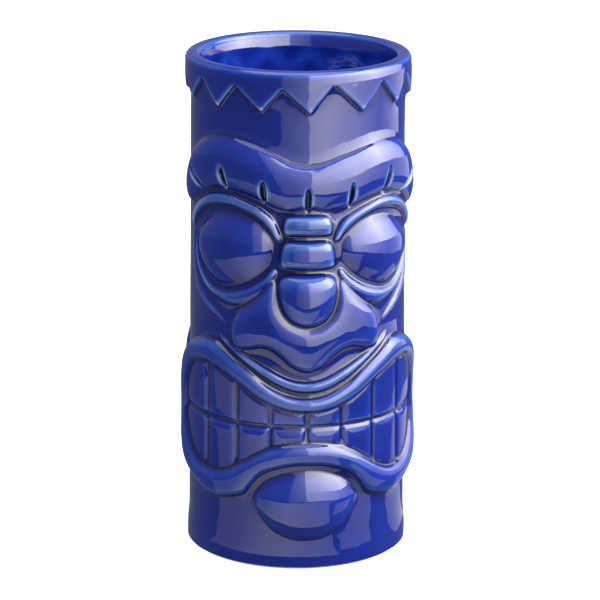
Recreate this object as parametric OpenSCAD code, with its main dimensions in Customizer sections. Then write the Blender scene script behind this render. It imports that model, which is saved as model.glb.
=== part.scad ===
// Tiki mug: a straight-sided slip-cast mug with a face in relief on the front
// and a shallower one on the back. Millimetres, +Z up, the face looks along -Y
// and the origin is the centre of the resting plane.
// Each clay sprig is laid on the conical wall and cut to its exact surface.

/* [Body] */
// Height from the table to the top of the rim
mug_height = 169; // [150:1:190]
// Diameter across the zigzag band at the rim
rim_d = 75; // [68:0.5:84]
// Diameter of the plain wall where it meets the rim lip
wall_top_d = 71.1; // [64:0.1:80]
// Diameter of the plain wall just above the foot
wall_low_d = 73.5; // [64:0.1:82]
// Diameter across the flared foot
foot_d = 74.6; // [66:0.1:84]
// Diameter of the straight inside
inside_d = 65; // [54:0.5:72]
// Thickness of the floor
floor_t = 5; // [3:0.5:9]
// Radius between the inside wall and the floor
corner_r = 6; // [2:0.5:12]

/* [Foot] */
// Height of the unglazed ring that the mug stands on
ring_h = 1.6; // [1:0.1:3]
// Inner diameter of the unglazed ring
ring_inner_d = 59; // [40:1:62]
// Rounding at the outer edge of the unglazed ring
ring_round = 0.8; // [0.4:0.1:0.8]
// Height at which the foot starts to narrow
flare_low = 4; // [2:0.5:6]
// Height at which the foot has narrowed to the wall
flare_high = 9.5; // [7:0.5:10]

/* [Rim] */
// Height of the plain lip above the zigzag band
lip_h = 4.4; // [3:0.1:8]
// Rounding of the lip's two top edges
lip_round = 2.2; // [1:0.1:2.2]
// Height of the zigzag band from its lowest points to the lip
band_h = 9.8; // [6:0.1:14]
// Depth of the zigzag's notches
notch_h = 8.4; // [5:0.1:9.5]
// Width of the blunt end of each zigzag tooth
blunt_w = 0.6; // [0.4:0.1:2]

/* [Relief] */
// Height of a sprig's square edge above the wall
edge_h = 0.6; // [0.3:0.1:1]
// Height of the brow
brow_h = 4; // [1.5:0.1:5]
// Depth of the leaf-shaped notches cut into the brow
leaf_cut = 1.6; // [0:0.1:3]
// Width of a leaf-shaped notch
leaf_w = 2; // [1:0.1:3]
// Height of the eyes
eye_h = 3.8; // [1.5:0.1:5]
// Height of the upper eyelids
lid_h = 2.5; // [1:0.1:4]
// Height of the lower eyelids
under_lid_h = 2.2; // [1:0.1:4]
// Height of the cheek folds
cheek_h = 1.8; // [1:0.1:3]
// Height of the two blocks of the nose's bridge
bridge_h = 4.2; // [2:0.1:6]
// Height of the nose's tip
tip_h = 6.4; // [3:0.1:8]
// Height of the nostrils
nostril_h = 4.4; // [2:0.1:6]
// Height of the fold above the lips
fold_h = 2.2; // [1:0.1:3]
// Height of the lips
lips_h = 3.8; // [2:0.1:5]
// Height of the teeth
tooth_h = 1.5; // [0.8:0.1:2.5]
// Height of the chin
chin_h = 3.8; // [2:0.1:5]
// Width of the gap between two teeth, in degrees
tooth_gap = 1.6; // [0.8:0.1:3]
// Height of the line between the upper and the lower teeth
bite_z = 50; // [47:0.5:53]
// Gap between the two rows of teeth
bite_gap = 1; // [0.5:0.1:2]
// Gap between the teeth and the lips
lip_gap = 0.4; // [0.2:0.1:1]

/* [Back face] */
// Share of the front face's width that the back face has
back_width = 0.9; // [0.7:0.01:1]
// Share of the front face's relief that the back face has
back_relief = 0.72; // [0.4:0.01:1]
// How much lower the brow of the back face sits
back_drop = 4; // [0:0.5:6]
// Height above which the back face starts to be shortened
drop_low = 80; // [70:1:90]
// Height above which the back face is lowered by the full amount
drop_high = 120; // [110:1:130]

/* [Colours] */
// Cobalt glaze
glaze = [0.12, 0.2, 0.55];
// Glaze broken thin over the relief
thin_glaze = [0.22, 0.33, 0.68];
// Bare fired clay
clay = [0.86, 0.8, 0.7];

/* [Hidden] */
$fn = 360;

rim_r = rim_d / 2;
wall_top_r = wall_top_d / 2;
wall_low_r = wall_low_d / 2;
foot_r = foot_d / 2;
inside_r = inside_d / 2;
ring_inner_r = ring_inner_d / 2;
floor_z = ring_h + floor_t;
lip_z = mug_height - lip_h;
band_z = lip_z - band_h;
root_depth = 1;
cut_over = 1;

// Straight steps along each outline.
brow_steps = 54;
eye_steps = 22;
cheek_steps = 16;
bridge_steps = 12;
tip_steps = 20;
nostril_steps = 36;
fold_steps = 26;
lips_steps = 72;
chin_steps = 24;
mouth_steps = 60;
tooth_steps = 6;
// Points of lips_inner: the last one over the bite, and the lowest in the middle.
mouth_side = 12;
mouth_low = 24;

// A face is [turn about Z, share of width, share of relief, drop of the brow].
FRONT = [0, 1, 1, 0];
BACK = [180, back_width, back_relief, back_drop];

// Angles of the zigzag's lowest points from the middle of a face. The other
// half of the rim repeats them.
tip_angles = [-50, -24, 1, 29, 55, 80, 105, 130];

// Outlines are [angle from the middle of the face, height], left to right.
brow_top = [
    [-83, 130], [-80, 134], [-75, 138.5], [-70, 141.5], [-59, 146],
    [-45, 148], [-29, 147], [-19, 144.7], [-9, 142], [0, 141.3],
    [9, 142], [19, 144.7], [29, 147], [45, 148], [59, 146],
    [70, 141.5], [75, 138.5], [80, 134], [83, 130]
];
brow_bottom = [
    [-80, 120.5], [-78, 120], [-74, 121.5], [-69, 124], [-58, 127.2],
    [-44, 128.5], [-29, 127], [-19, 124], [-9, 122.3], [0, 123.5],
    [9, 122.3], [19, 124], [29, 127], [44, 128.5], [58, 127.2],
    [69, 124], [74, 121.5], [78, 120], [80, 120.5]
];
// Leaf-shaped notches of the brow: [angle, height, length, lean].
brow_leaves = [
    [-65, 131, 9, 28], [-44.5, 133, 10.5, 8], [-22, 130, 8, 0], [0, 128.5, 7, 0],
    [22, 130, 8, 0], [44.5, 133, 10.5, -8], [65, 131, 9, -28]
];
lid_top = [
    [14.2, 117], [18, 120.5], [23.4, 123.4], [28.7, 125.1],
    [38.7, 126.9], [46.7, 127.2], [53.9, 126.4], [61.3, 124.3],
    [67.8, 121], [71.2, 117]
];
lid_bottom = [
    [15.6, 114.6], [19.8, 117.9], [24.3, 120.7], [28.9, 122.3],
    [38.7, 124.1], [46.7, 124.4], [53.5, 123.6], [60.1, 121.7],
    [65.4, 119], [68.4, 115.8]
];
eye_top = [
    [17.2, 112.4], [20.7, 117], [26.7, 120], [34.7, 121.7],
    [43.7, 121.7], [52.7, 120], [60.7, 117], [66.2, 113], [67.8, 110]
];
eye_bottom = [
    [17.2, 108], [20.5, 104.6], [25.7, 101], [32.7, 98.2],
    [42.7, 96.2], [52.7, 97], [60.7, 100], [66.2, 104], [67.8, 108]
];
under_top = [
    [18.8, 103.6], [21.8, 99.9], [29, 96.6], [38.7, 94.6],
    [48.5, 95], [55.9, 97], [62.5, 100.8], [67.3, 104.8], [69.4, 108.2]
];
under_bottom = [
    [16.2, 101.6], [20.2, 96.9], [28.3, 93], [38.7, 90.8],
    [48.9, 91.3], [57.5, 93.6], [64.9, 97.8], [70, 102.4], [72, 107.4]
];
cheek_top = [
    [45.5, 86.8], [51.3, 87.6], [58.1, 89.6], [65.9, 93.2],
    [70.6, 98.6], [72.9, 104.5], [72.9, 110.5]
];
cheek_bottom = [
    [46.1, 83.6], [52.3, 84.4], [59.5, 86.3], [67.9, 90],
    [73.2, 96.4], [75.7, 103.8], [75.5, 110.2]
];
bridge_upper_top = [
    [-12.6, 120.4], [-9, 121.7], [-3, 122], [3, 122], [9, 121.7], [12.6, 120.4]
];
bridge_upper_bottom = [
    [-12.4, 115.3], [-9, 114.8], [-3, 114.7], [3, 114.7], [9, 114.8], [12.4, 115.3]
];
bridge_lower_top = [
    [-12.6, 112.6], [-9, 113.1], [-3, 113.2], [3, 113.2], [9, 113.1], [12.6, 112.6]
];
bridge_lower_bottom = [
    [-14.2, 104.2], [-9, 103.5], [-3, 103.4], [3, 103.4], [9, 103.5], [14.2, 104.2]
];
tip_top = [
    [-15.6, 97.2], [-14.4, 100.4], [-9, 102], [0, 102.4],
    [9, 102], [14.4, 100.4], [15.6, 97.2]
];
tip_bottom = [
    [-15.6, 94.6], [-13.4, 89.4], [-8, 85.8], [0, 84.4],
    [8, 85.8], [13.4, 89.4], [15.6, 94.6]
];
nostril_top = [
    [-38, 87.4], [-30.7, 91.5], [-23.7, 94.4], [-18.2, 96], [-15.6, 89.4],
    [-9.6, 84.4], [0, 82.6],
    [9.6, 84.4], [15.6, 89.4], [18.2, 96], [23.7, 94.4], [30.7, 91.5], [38, 87.4]
];
nostril_bottom = [
    [-40.6, 80.6], [-38, 76.4], [-31, 75.4], [-23.7, 76.4], [-17, 75.4],
    [-8.7, 71.4], [0, 69.4],
    [8.7, 71.4], [17, 75.4], [23.7, 76.4], [31, 75.4], [38, 76.4], [40.6, 80.6]
];
fold_top = [
    [-45, 79.8], [-38.2, 76.5], [-28.2, 72.5], [-18.4, 69], [-8.7, 66.4],
    [0, 65.7], [8.7, 66.4], [18.4, 69], [28.2, 72.5], [38.2, 76.5], [45, 79.8]
];
fold_bottom = [
    [-46, 78.2], [-39.2, 75.3], [-29.2, 71.1], [-19, 66.3], [-8.9, 63.6],
    [0, 62.9], [8.9, 63.6], [19, 66.3], [29.2, 71.1], [39.2, 75.3], [46, 78.2]
];
lips_outer = [
    [0, 61.3], [9, 62], [19, 64.7], [29, 69.4], [39, 73.6], [48, 76.8], [56, 77.3],
    [65, 76], [75, 73.2], [83, 68.6], [88, 62], [90, 55], [90, 46], [88, 37],
    [83, 30.8], [76, 27.6], [67, 25.4], [58, 23.4], [49, 22.5], [39, 23.7],
    [32, 25.6], [27, 29.6], [21, 33.4], [10, 36],
    [0, 36.6], [-10, 36], [-21, 33.4], [-27, 29.6], [-32, 25.6],
    [-39, 23.7], [-49, 22.5], [-58, 23.4], [-67, 25.4], [-76, 27.6],
    [-83, 30.8], [-88, 37], [-90, 46], [-90, 55], [-88, 62], [-83, 68.6], [-75, 73.2],
    [-65, 76], [-56, 77.3], [-48, 76.8], [-39, 73.6], [-29, 69.4], [-19, 64.7], [-9, 62]
];
lips_inner = [
    [0, 54.7], [7, 54.9], [14, 56], [24, 58.7], [34, 62.7], [44, 66], [52, 67.8],
    [61, 68.3], [69, 66.3], [75, 62], [78.6, 57], [80, 52.4], [80, 48], [78.7, 44],
    [74.5, 39.6], [69, 36.2], [63, 33.9], [57, 32.9], [49, 32.8], [42, 34.2],
    [34, 37.3], [26, 40.8], [18, 43.3], [9, 44.7],
    [0, 45], [-9, 44.7], [-18, 43.3], [-26, 40.8], [-34, 37.3],
    [-42, 34.2], [-49, 32.8], [-57, 32.9], [-63, 33.9], [-69, 36.2],
    [-74.5, 39.6], [-78.7, 44], [-80, 48], [-80, 52.4], [-78.6, 57], [-75, 62], [-69, 66.3],
    [-61, 68.3], [-52, 67.8], [-44, 66], [-34, 62.7], [-24, 58.7], [-14, 56], [-7, 54.9]
];
chin_top = [
    [-28.7, 26.4], [-24, 29.8], [-18, 32.3], [-9, 34.6], [0, 35.2],
    [9, 34.6], [18, 32.3], [24, 29.8], [28.7, 26.4]
];
chin_bottom = [
    [-28.7, 23.6], [-24.6, 18.6], [-18, 13.8], [-9, 11], [0, 10.3],
    [9, 11], [18, 13.8], [24.6, 18.6], [28.7, 23.6]
];
// Each row has four teeth a side, from the middle outwards.
tooth_edges = [0, 18.3, 37, 57.3, 79];

function wall_r(z) =
    wall_low_r + (wall_top_r - wall_low_r) * (z - flare_high) / (lip_z - flare_high);

function settled(z, face) =
    z - face[3] * max(0, min(1, (z - drop_low) / (drop_high - drop_low)));

// A point on or over the wall of one face.
function laid(p, rise, face) =
    let (z = settled(p[1], face))
    let (r = wall_r(z) + rise)
    let (a = p[0] * face[1])
    [r * sin(a), -r * cos(a), z];

// Smooth curve through the hand-set points of an outline, 0 <= u <= 1.
function picked(pts, i, closed) =
    closed ? pts[(i + len(pts)) % len(pts)] : pts[max(0, min(len(pts) - 1, i))];

function smooth_at(pts, u, closed) =
    let (s = u * (closed ? len(pts) : len(pts) - 1))
    let (k = min(floor(s), closed ? len(pts) - 1 : len(pts) - 2))
    let (t = s - k)
    let (a = picked(pts, k - 1, closed))
    let (b = picked(pts, k, closed))
    let (c = picked(pts, k + 1, closed))
    let (d = picked(pts, k + 2, closed))
    b + (c - a) * t / 2 + (2 * a - 5 * b + 4 * c - d) * t * t / 2
        + (3 * b - a - 3 * c + d) * t * t * t / 2;

function smooth(pts, n, closed = false) =
    [for (i = [0:closed ? n - 1 : n]) smooth_at(pts, i / n, closed)];

// Rounded cross-section of a sprig, and how it dies away towards its ends.
function rounded(t) = sqrt(max(0, 1 - pow(abs(2 * t - 1), 2.4)));

function fading(u, blunt) = sqrt(max(0, 1 - pow(abs(2 * u - 1), blunt)));

// A puffed clay sprig between two outlines with equal numbers of points. It
// starts inside the wall, so that the wall's cone can cut its back.
module puff(upper, lower, rise, face, across = 6, blunt = 6, closed = false) {
    n = len(upper);
    loop = across + 3;
    top = edge_h * face[2];
    extra = rise * face[2] - top;
    points = [
        for (i = [0:n - 1])
            for (j = [0:loop - 1])
                let (t = j <= across ? (1 - cos(180 * j / across)) / 2 : (j == across + 1 ? 1 : 0))
                let (swell = rounded(t) * (closed ? 1 : fading(i / (n - 1), blunt)))
                laid(
                    upper[i] + (lower[i] - upper[i]) * t,
                    j <= across ? top + extra * swell : -root_depth,
                    face
                )
    ];
    skin = [
        for (i = [0:closed ? n - 1 : n - 2])
            for (j = [0:loop - 1])
                let (a = i * loop + j)
                let (b = ((i + 1) % n) * loop + j)
                let (c = ((i + 1) % n) * loop + (j + 1) % loop)
                let (d = i * loop + (j + 1) % loop)
                each [[a, b, c], [a, c, d]]
    ];
    ends = [
        for (j = [1:loop - 2])
            each [
                [0, j, j + 1],
                [(n - 1) * loop, (n - 1) * loop + j + 1, (n - 1) * loop + j]
            ]
    ];
    rotate([0, 0, face[0]])
        difference() {
            polyhedron(points = points, faces = closed ? skin : concat(skin, ends), convexity = 6);
            wall_core();
        }
}

// Solid cone with the wall's outer surface.
module wall_core() {
    cylinder(h = lip_z, r1 = wall_r(0), r2 = wall_r(lip_z));
}

module one_side(side) {
    if (side < 0)
        mirror([1, 0, 0])
            children();
    else
        children();
}

module foot_ring() {
    color(clay)
        rotate_extrude()
            union() {
                translate([ring_inner_r, 0])
                    square([foot_r - ring_round - ring_inner_r, ring_h]);
                translate([foot_r - 2 * ring_round, ring_round])
                    square([2 * ring_round, ring_h - ring_round]);
                translate([foot_r - ring_round, ring_round])
                    circle(r = ring_round);
            }
}

module floor_disc() {
    color(glaze)
        translate([0, 0, ring_h])
            cylinder(h = floor_t, r = inside_r);
}

module wall_tube() {
    color(glaze)
        rotate_extrude()
            difference() {
                polygon([
                    [inside_r, ring_h],
                    [foot_r, ring_h],
                    [foot_r, flare_low],
                    [wall_low_r, flare_high],
                    [wall_top_r, lip_z],
                    [inside_r, lip_z],
                    [inside_r, floor_z + corner_r],
                    [inside_r - corner_r, floor_z + corner_r],
                    [inside_r - corner_r, floor_z],
                    [inside_r, floor_z]
                ]);
                translate([inside_r - corner_r, floor_z + corner_r])
                    circle(r = corner_r);
            }
}

module rim_lip() {
    color(thin_glaze)
        rotate_extrude()
            union() {
                translate([inside_r, lip_z])
                    square([rim_r - inside_r, lip_h - lip_round]);
                translate([inside_r + lip_round, lip_z])
                    square([rim_r - inside_r - 2 * lip_round, lip_h]);
                for (r = [inside_r + lip_round, rim_r - lip_round])
                    translate([r, mug_height - lip_round])
                        circle(r = lip_round);
            }
}

// One triangular notch of the zigzag, between two of its lowest points.
module notch(from, to) {
    half = (to - from) / 2;
    reach = rim_r * tan(half) - blunt_w / 2;
    rotate([90, 0, (from + to) / 2])
        linear_extrude(height = rim_r + cut_over)
            polygon([
                [-reach - cut_over * reach / notch_h, band_z - cut_over],
                [reach + cut_over * reach / notch_h, band_z - cut_over],
                [0, band_z + notch_h]
            ]);
}

module rim_band() {
    color(thin_glaze)
        difference() {
            translate([0, 0, band_z])
                cylinder(h = band_h, r = rim_r);
            wall_core();
            for (turn = [0, 180])
                for (k = [0:len(tip_angles) - 2])
                    rotate([0, 0, turn])
                        notch(tip_angles[k], tip_angles[k + 1]);
        }
}

// A leaf-shaped cutter pointing out of the wall: two arcs that meet in tips.
module leaf(a, z, length, lean, floor_r) {
    arc_r = (length * length + leaf_w * leaf_w) / (4 * leaf_w);
    translate([0, 0, z])
        rotate([90, 0, a])
            translate([0, 0, floor_r])
                rotate([0, 0, lean])
                    linear_extrude(height = brow_h + cut_over)
                        intersection() {
                            translate([arc_r - leaf_w / 2, 0])
                                circle(r = arc_r);
                            translate([leaf_w / 2 - arc_r, 0])
                                circle(r = arc_r);
                        }
}

module brow(face) {
    difference() {
        puff(smooth(brow_top, brow_steps), smooth(brow_bottom, brow_steps),
            brow_h, face, across = 8, blunt = 14);
        rotate([0, 0, face[0]])
            for (k = brow_leaves)
                leaf(k[0] * face[1], settled(k[1], face), k[2], k[3],
                    wall_r(k[1]) + (brow_h - leaf_cut) * face[2]);
    }
}

module upper_eyelid(face, side) {
    one_side(side)
        puff(smooth(lid_top, eye_steps), smooth(lid_bottom, eye_steps),
            lid_h, face, across = 4, blunt = 6);
}

module eye(face, side) {
    one_side(side)
        puff(smooth(eye_top, eye_steps), smooth(eye_bottom, eye_steps),
            eye_h, face, across = 8, blunt = 2);
}

module lower_eyelid(face, side) {
    one_side(side)
        puff(smooth(under_top, eye_steps), smooth(under_bottom, eye_steps),
            under_lid_h, face, across = 4);
}

module cheek(face, side) {
    one_side(side)
        puff(smooth(cheek_top, cheek_steps), smooth(cheek_bottom, cheek_steps),
            cheek_h, face, across = 4);
}

module nose_bridge_upper(face) {
    puff(smooth(bridge_upper_top, bridge_steps), smooth(bridge_upper_bottom, bridge_steps),
        bridge_h, face, blunt = 5);
}

module nose_bridge_lower(face) {
    puff(smooth(bridge_lower_top, bridge_steps), smooth(bridge_lower_bottom, bridge_steps),
        bridge_h, face, blunt = 5);
}

module nose_tip(face) {
    puff(smooth(tip_top, tip_steps), smooth(tip_bottom, tip_steps),
        tip_h, face, across = 8, blunt = 2.6);
}

module nostrils(face) {
    puff(smooth(nostril_top, nostril_steps), smooth(nostril_bottom, nostril_steps),
        nostril_h, face, across = 6, blunt = 6);
}

module lip_fold(face) {
    puff(smooth(fold_top, fold_steps), smooth(fold_bottom, fold_steps),
        fold_h, face, across = 4, blunt = 4);
}

module lips(face) {
    puff(smooth(lips_outer, lips_steps, true), smooth(lips_inner, lips_steps, true), lips_h, face,
        across = 8, closed = true);
}

module chin(face) {
    puff(smooth(chin_top, chin_steps), smooth(chin_bottom, chin_steps),
        chin_h, face, across = 8, blunt = 2.2);
}

// One row of teeth. The mouth's outline runs over the teeth's outer ends.
module teeth(face, upper) {
    last = len(tooth_edges) - 2;
    outline = upper ? smooth([for (k = [0:mouth_side]) lips_inner[k]], mouth_steps)
        : smooth([for (k = [mouth_low:-1:mouth_side + 1]) lips_inner[k]], mouth_steps);
    for (side = [-1, 1])
        one_side(side)
            for (k = [0:last]) {
                from = tooth_edges[k] + tooth_gap / 2;
                to = tooth_edges[k + 1] - (k == last ? 0 : tooth_gap / 2);
                angles = [for (i = [0:tooth_steps]) from + (to - from) * i / tooth_steps];
                gum = [for (a = angles) [a, lookup(a, outline) + (upper ? -lip_gap : lip_gap)]];
                bite = [for (a = angles) [a, bite_z + (upper ? bite_gap : -bite_gap) / 2]];
                puff(upper ? gum : bite, upper ? bite : gum, tooth_h, face, across = 5, blunt = 4);
            }
}

module front_brow() { color(thin_glaze) brow(FRONT); }
module front_left_upper_eyelid() { color(thin_glaze) upper_eyelid(FRONT, -1); }
module front_right_upper_eyelid() { color(thin_glaze) upper_eyelid(FRONT, 1); }
module front_left_eye() { color(glaze) eye(FRONT, -1); }
module front_right_eye() { color(glaze) eye(FRONT, 1); }
module front_left_lower_eyelid() { color(thin_glaze) lower_eyelid(FRONT, -1); }
module front_right_lower_eyelid() { color(thin_glaze) lower_eyelid(FRONT, 1); }
module front_left_cheek() { color(glaze) cheek(FRONT, -1); }
module front_right_cheek() { color(glaze) cheek(FRONT, 1); }
module front_nose_bridge_upper() { color(thin_glaze) nose_bridge_upper(FRONT); }
module front_nose_bridge_lower() { color(thin_glaze) nose_bridge_lower(FRONT); }
module front_nose_tip() { color(thin_glaze) nose_tip(FRONT); }
module front_nostrils() { color(glaze) nostrils(FRONT); }
module front_lip_fold() { color(thin_glaze) lip_fold(FRONT); }
module front_lips() { color(thin_glaze) lips(FRONT); }
module front_upper_teeth() { color(glaze) teeth(FRONT, true); }
module front_lower_teeth() { color(glaze) teeth(FRONT, false); }
module front_chin() { color(thin_glaze) chin(FRONT); }

module back_brow() { color(thin_glaze) brow(BACK); }
module back_left_upper_eyelid() { color(thin_glaze) upper_eyelid(BACK, -1); }
module back_right_upper_eyelid() { color(thin_glaze) upper_eyelid(BACK, 1); }
module back_left_eye() { color(glaze) eye(BACK, -1); }
module back_right_eye() { color(glaze) eye(BACK, 1); }
module back_left_lower_eyelid() { color(thin_glaze) lower_eyelid(BACK, -1); }
module back_right_lower_eyelid() { color(thin_glaze) lower_eyelid(BACK, 1); }
module back_left_cheek() { color(glaze) cheek(BACK, -1); }
module back_right_cheek() { color(glaze) cheek(BACK, 1); }
module back_nose_bridge_upper() { color(thin_glaze) nose_bridge_upper(BACK); }
module back_nose_bridge_lower() { color(thin_glaze) nose_bridge_lower(BACK); }
module back_nose_tip() { color(thin_glaze) nose_tip(BACK); }
module back_nostrils() { color(glaze) nostrils(BACK); }
module back_lip_fold() { color(thin_glaze) lip_fold(BACK); }
module back_lips() { color(thin_glaze) lips(BACK); }
module back_upper_teeth() { color(glaze) teeth(BACK, true); }
module back_lower_teeth() { color(glaze) teeth(BACK, false); }
module back_chin() { color(thin_glaze) chin(BACK); }

foot_ring();
floor_disc();
wall_tube();
rim_lip();
rim_band();
front_brow();
front_left_upper_eyelid();
front_right_upper_eyelid();
front_left_eye();
front_right_eye();
front_left_lower_eyelid();
front_right_lower_eyelid();
front_left_cheek();
front_right_cheek();
front_nose_bridge_upper();
front_nose_bridge_lower();
front_nose_tip();
front_nostrils();
front_lip_fold();
front_lips();
front_upper_teeth();
front_lower_teeth();
front_chin();
back_brow();
back_left_upper_eyelid();
back_right_upper_eyelid();
back_left_eye();
back_right_eye();
back_left_lower_eyelid();
back_right_lower_eyelid();
back_left_cheek();
back_right_cheek();
back_nose_bridge_upper();
back_nose_bridge_lower();
back_nose_tip();
back_nostrils();
back_lip_fold();
back_lips();
back_upper_teeth();
back_lower_teeth();
back_chin();
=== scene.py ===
"""Glazed tiki mug: a slip-cast wall with a face of luted clay sprigs under one coat of cobalt glaze.

Every piece is raised on the wall by one relief map, so that the glaze runs over the joins
between wall and sprigs without a step. Metres in the row frame; the outlines are in degrees
from the middle of a face and millimetres of height, as a potter would lay them out.
"""
import logging
import math
from dataclasses import dataclass, field
from enum import Enum

import bpy
import numpy as np
from mathutils import Matrix, Vector


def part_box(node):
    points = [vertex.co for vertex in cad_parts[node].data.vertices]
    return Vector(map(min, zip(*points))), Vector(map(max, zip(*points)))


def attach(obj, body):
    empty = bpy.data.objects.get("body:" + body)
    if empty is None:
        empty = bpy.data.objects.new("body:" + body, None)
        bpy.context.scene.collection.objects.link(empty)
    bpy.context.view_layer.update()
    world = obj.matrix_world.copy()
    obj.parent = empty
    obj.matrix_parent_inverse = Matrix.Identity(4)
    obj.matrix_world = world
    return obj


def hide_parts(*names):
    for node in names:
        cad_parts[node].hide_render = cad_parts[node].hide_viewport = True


LOG = logging.getLogger("tiki_mug")
MM = 0.001
# Radius at which the wall is unrolled: one degree of turn is ROLL_R * pi / 180 across.
ROLL_R = 36.9
DEGREE = ROLL_R * math.pi / 180.0

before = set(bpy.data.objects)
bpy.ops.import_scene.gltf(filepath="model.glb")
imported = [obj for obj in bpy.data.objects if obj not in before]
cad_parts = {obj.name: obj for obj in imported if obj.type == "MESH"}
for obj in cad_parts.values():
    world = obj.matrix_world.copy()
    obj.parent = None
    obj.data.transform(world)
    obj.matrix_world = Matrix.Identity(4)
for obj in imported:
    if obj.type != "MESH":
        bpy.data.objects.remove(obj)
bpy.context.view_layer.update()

Points = tuple[tuple[float, float], ...]
# Glaze coat on the finish's scale from thin to thick: an even coat, and how strongly it answers
# to a millimetre of ridge and of hollow.
EVEN_COAT = 0.42
BREAKS = 0.88
POOLS = 0.7
# A distance well outside every form, in millimetres.
FAR_OUT = -99.0
# Straight steps between two given points of an outline.
CURVE_STEPS = 6


# ---------------------------------------------------------------- outlines of the face

BROW: Points = (
    (0, 139), (9, 139.9), (19, 142.9), (29, 145.2), (45, 146.6), (59, 144.9), (70, 141.2),
    (76, 137.2), (81, 132), (83, 127), (81.6, 122), (78, 120), (74, 121.3), (69, 123.5),
    (58, 127.2), (44, 128.5), (29, 127), (19, 124.4), (9, 122.6), (0, 123.4),
)
UPPER_LID: Points = (
    (12.6, 113.2), (13.8, 116.8), (17.4, 120.8), (23, 123.8), (28.7, 125.6), (38.7, 127.4),
    (46.7, 127.8), (54.4, 126.9), (62, 124.6), (69, 121.1), (73.6, 116.6), (74.4, 112),
    (70.2, 114.8), (65, 118.2), (59.7, 120.8), (53.3, 122.4), (46.7, 123.1), (38.7, 123),
    (29.5, 121.3), (24.7, 119.5), (20, 116.6), (16, 113.2),
)
EYE: Points = (
    (16.9, 110.4), (17.6, 113.8), (20.7, 117.1), (26.7, 120.2), (34.7, 121.9), (43.7, 121.9),
    (52.7, 120.2), (60.7, 117), (66.4, 113), (68, 109), (66.4, 104.4), (60.7, 99.8),
    (53.7, 97), (46.7, 96), (38.7, 96.7), (30.7, 98.8), (23.7, 101.8), (18.8, 105.4),
)
LOWER_LID: Points = (
    (15.2, 103), (18.5, 103.7), (23.5, 100.7), (30.5, 97.7), (38.7, 95.7), (46.7, 95),
    (54, 96), (61, 98.9), (66.8, 103.3), (69.2, 107.5), (70.6, 112), (72, 107.5),
    (69.8, 101.5), (64.5, 96.9), (57.5, 93.2), (49, 91), (38.7, 89.6), (28.5, 91.6),
    (21, 95), (16.5, 99.3),
)
CHEEK: Points = (
    (73.2, 112), (75.9, 110.4), (75.7, 104), (73.2, 96.6), (67.9, 90.6), (60, 87),
    (52.3, 84.9), (44, 82.8), (51, 87.3), (57.8, 90.6), (65.4, 95.2), (71, 101), (73, 107),
)
BRIDGE_UPPER: Points = (
    (0, 122.6), (7, 122.5), (11, 121.7), (12.9, 119.2), (12.8, 116.6), (11.2, 115.1), (6, 114.8),
    (0, 114.8),
)
BRIDGE_LOWER: Points = (
    (0, 114.1), (8, 114), (12, 113.1), (13.9, 110.4), (14.4, 107), (13.5, 104.4), (8, 103.7),
    (0, 103.6),
)
NOSE_TIP: Points = (
    (0, 103), (9, 102.7), (14.2, 101.1), (16, 97.5), (15.5, 93.5), (13.4, 89.3), (9.3, 86),
    (4, 84.3), (0, 83.8),
)
NOSTRILS: Points = (
    (0, 85.8), (4.2, 86.3), (8.4, 87.9), (11.6, 90.8), (13.2, 94.4), (14.2, 98), (16.5, 100.2),
    (19.5, 99.6), (23.7, 96.4), (30.7, 92.4), (36.7, 89.1), (40.4, 85), (41.5, 80.2), (39.9, 76.3),
    (36.5, 74.9), (28.7, 75.6), (23.7, 76.4), (18.7, 75.9), (13.7, 73.8), (8.7, 70.8),
    (3.7, 69.1), (0, 68.6),
)
LIP_FOLD: Points = (
    (0, 66), (8.7, 66.9), (18.7, 69.9), (28.7, 73.2), (37, 75.9), (44.5, 78.2),
    (50, 79.2), (46.5, 76.8), (39.8, 73.8), (29.7, 69.5), (19.3, 65.3), (9, 62.3), (0, 61.5),
)
LIPS_OUTER: Points = (
    (0, 60.5), (9, 61.3), (19, 64.4), (29, 69), (39, 73.3), (48, 76.6), (56, 77.3), (65, 76),
    (75, 73.2), (83, 68.6), (88, 62), (90, 55), (90, 46), (88, 37), (83, 30.8), (76, 27.6),
    (67, 25.4), (58, 23.4), (49, 22.5), (39, 23.7), (32, 25.6), (27, 29.6), (21, 33.4),
    (10, 36), (0, 36.6),
)
LIPS_INNER: Points = (
    (0, 54.7), (7, 54.9), (14, 56), (24, 58.7), (34, 62.7), (44, 66), (52, 67.8), (61, 68.3),
    (69, 66.3), (75, 62), (78.6, 57), (80, 52.4), (80, 48), (78.7, 44), (74.5, 39.6),
    (69, 36.2), (63, 33.9), (57, 32.9), (49, 32.8), (42, 34.2), (34, 37.3), (26, 40.8),
    (18, 43.3), (9, 44.7), (0, 45),
)
CHIN: Points = (
    (0, 35.4), (9, 34.8), (18, 32.6), (24, 29.9), (28.2, 26.4), (29, 24.4), (27.6, 21),
    (24, 17.4), (18, 13.6), (9, 10.9), (0, 10.2),
)
# Lowest and highest points of the zigzag over half the rim; the other half repeats them.
ZIGZAG: Points = (
    (-50, 155), (-38.6, 163.2), (-24, 155.2), (-13, 163), (1, 155), (13.5, 164.2), (29.5, 155),
    (42, 163.7), (55, 155.3), (67, 163.3), (80, 155), (92, 163.6), (105, 155.4), (117.5, 163.4),
)


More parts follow.
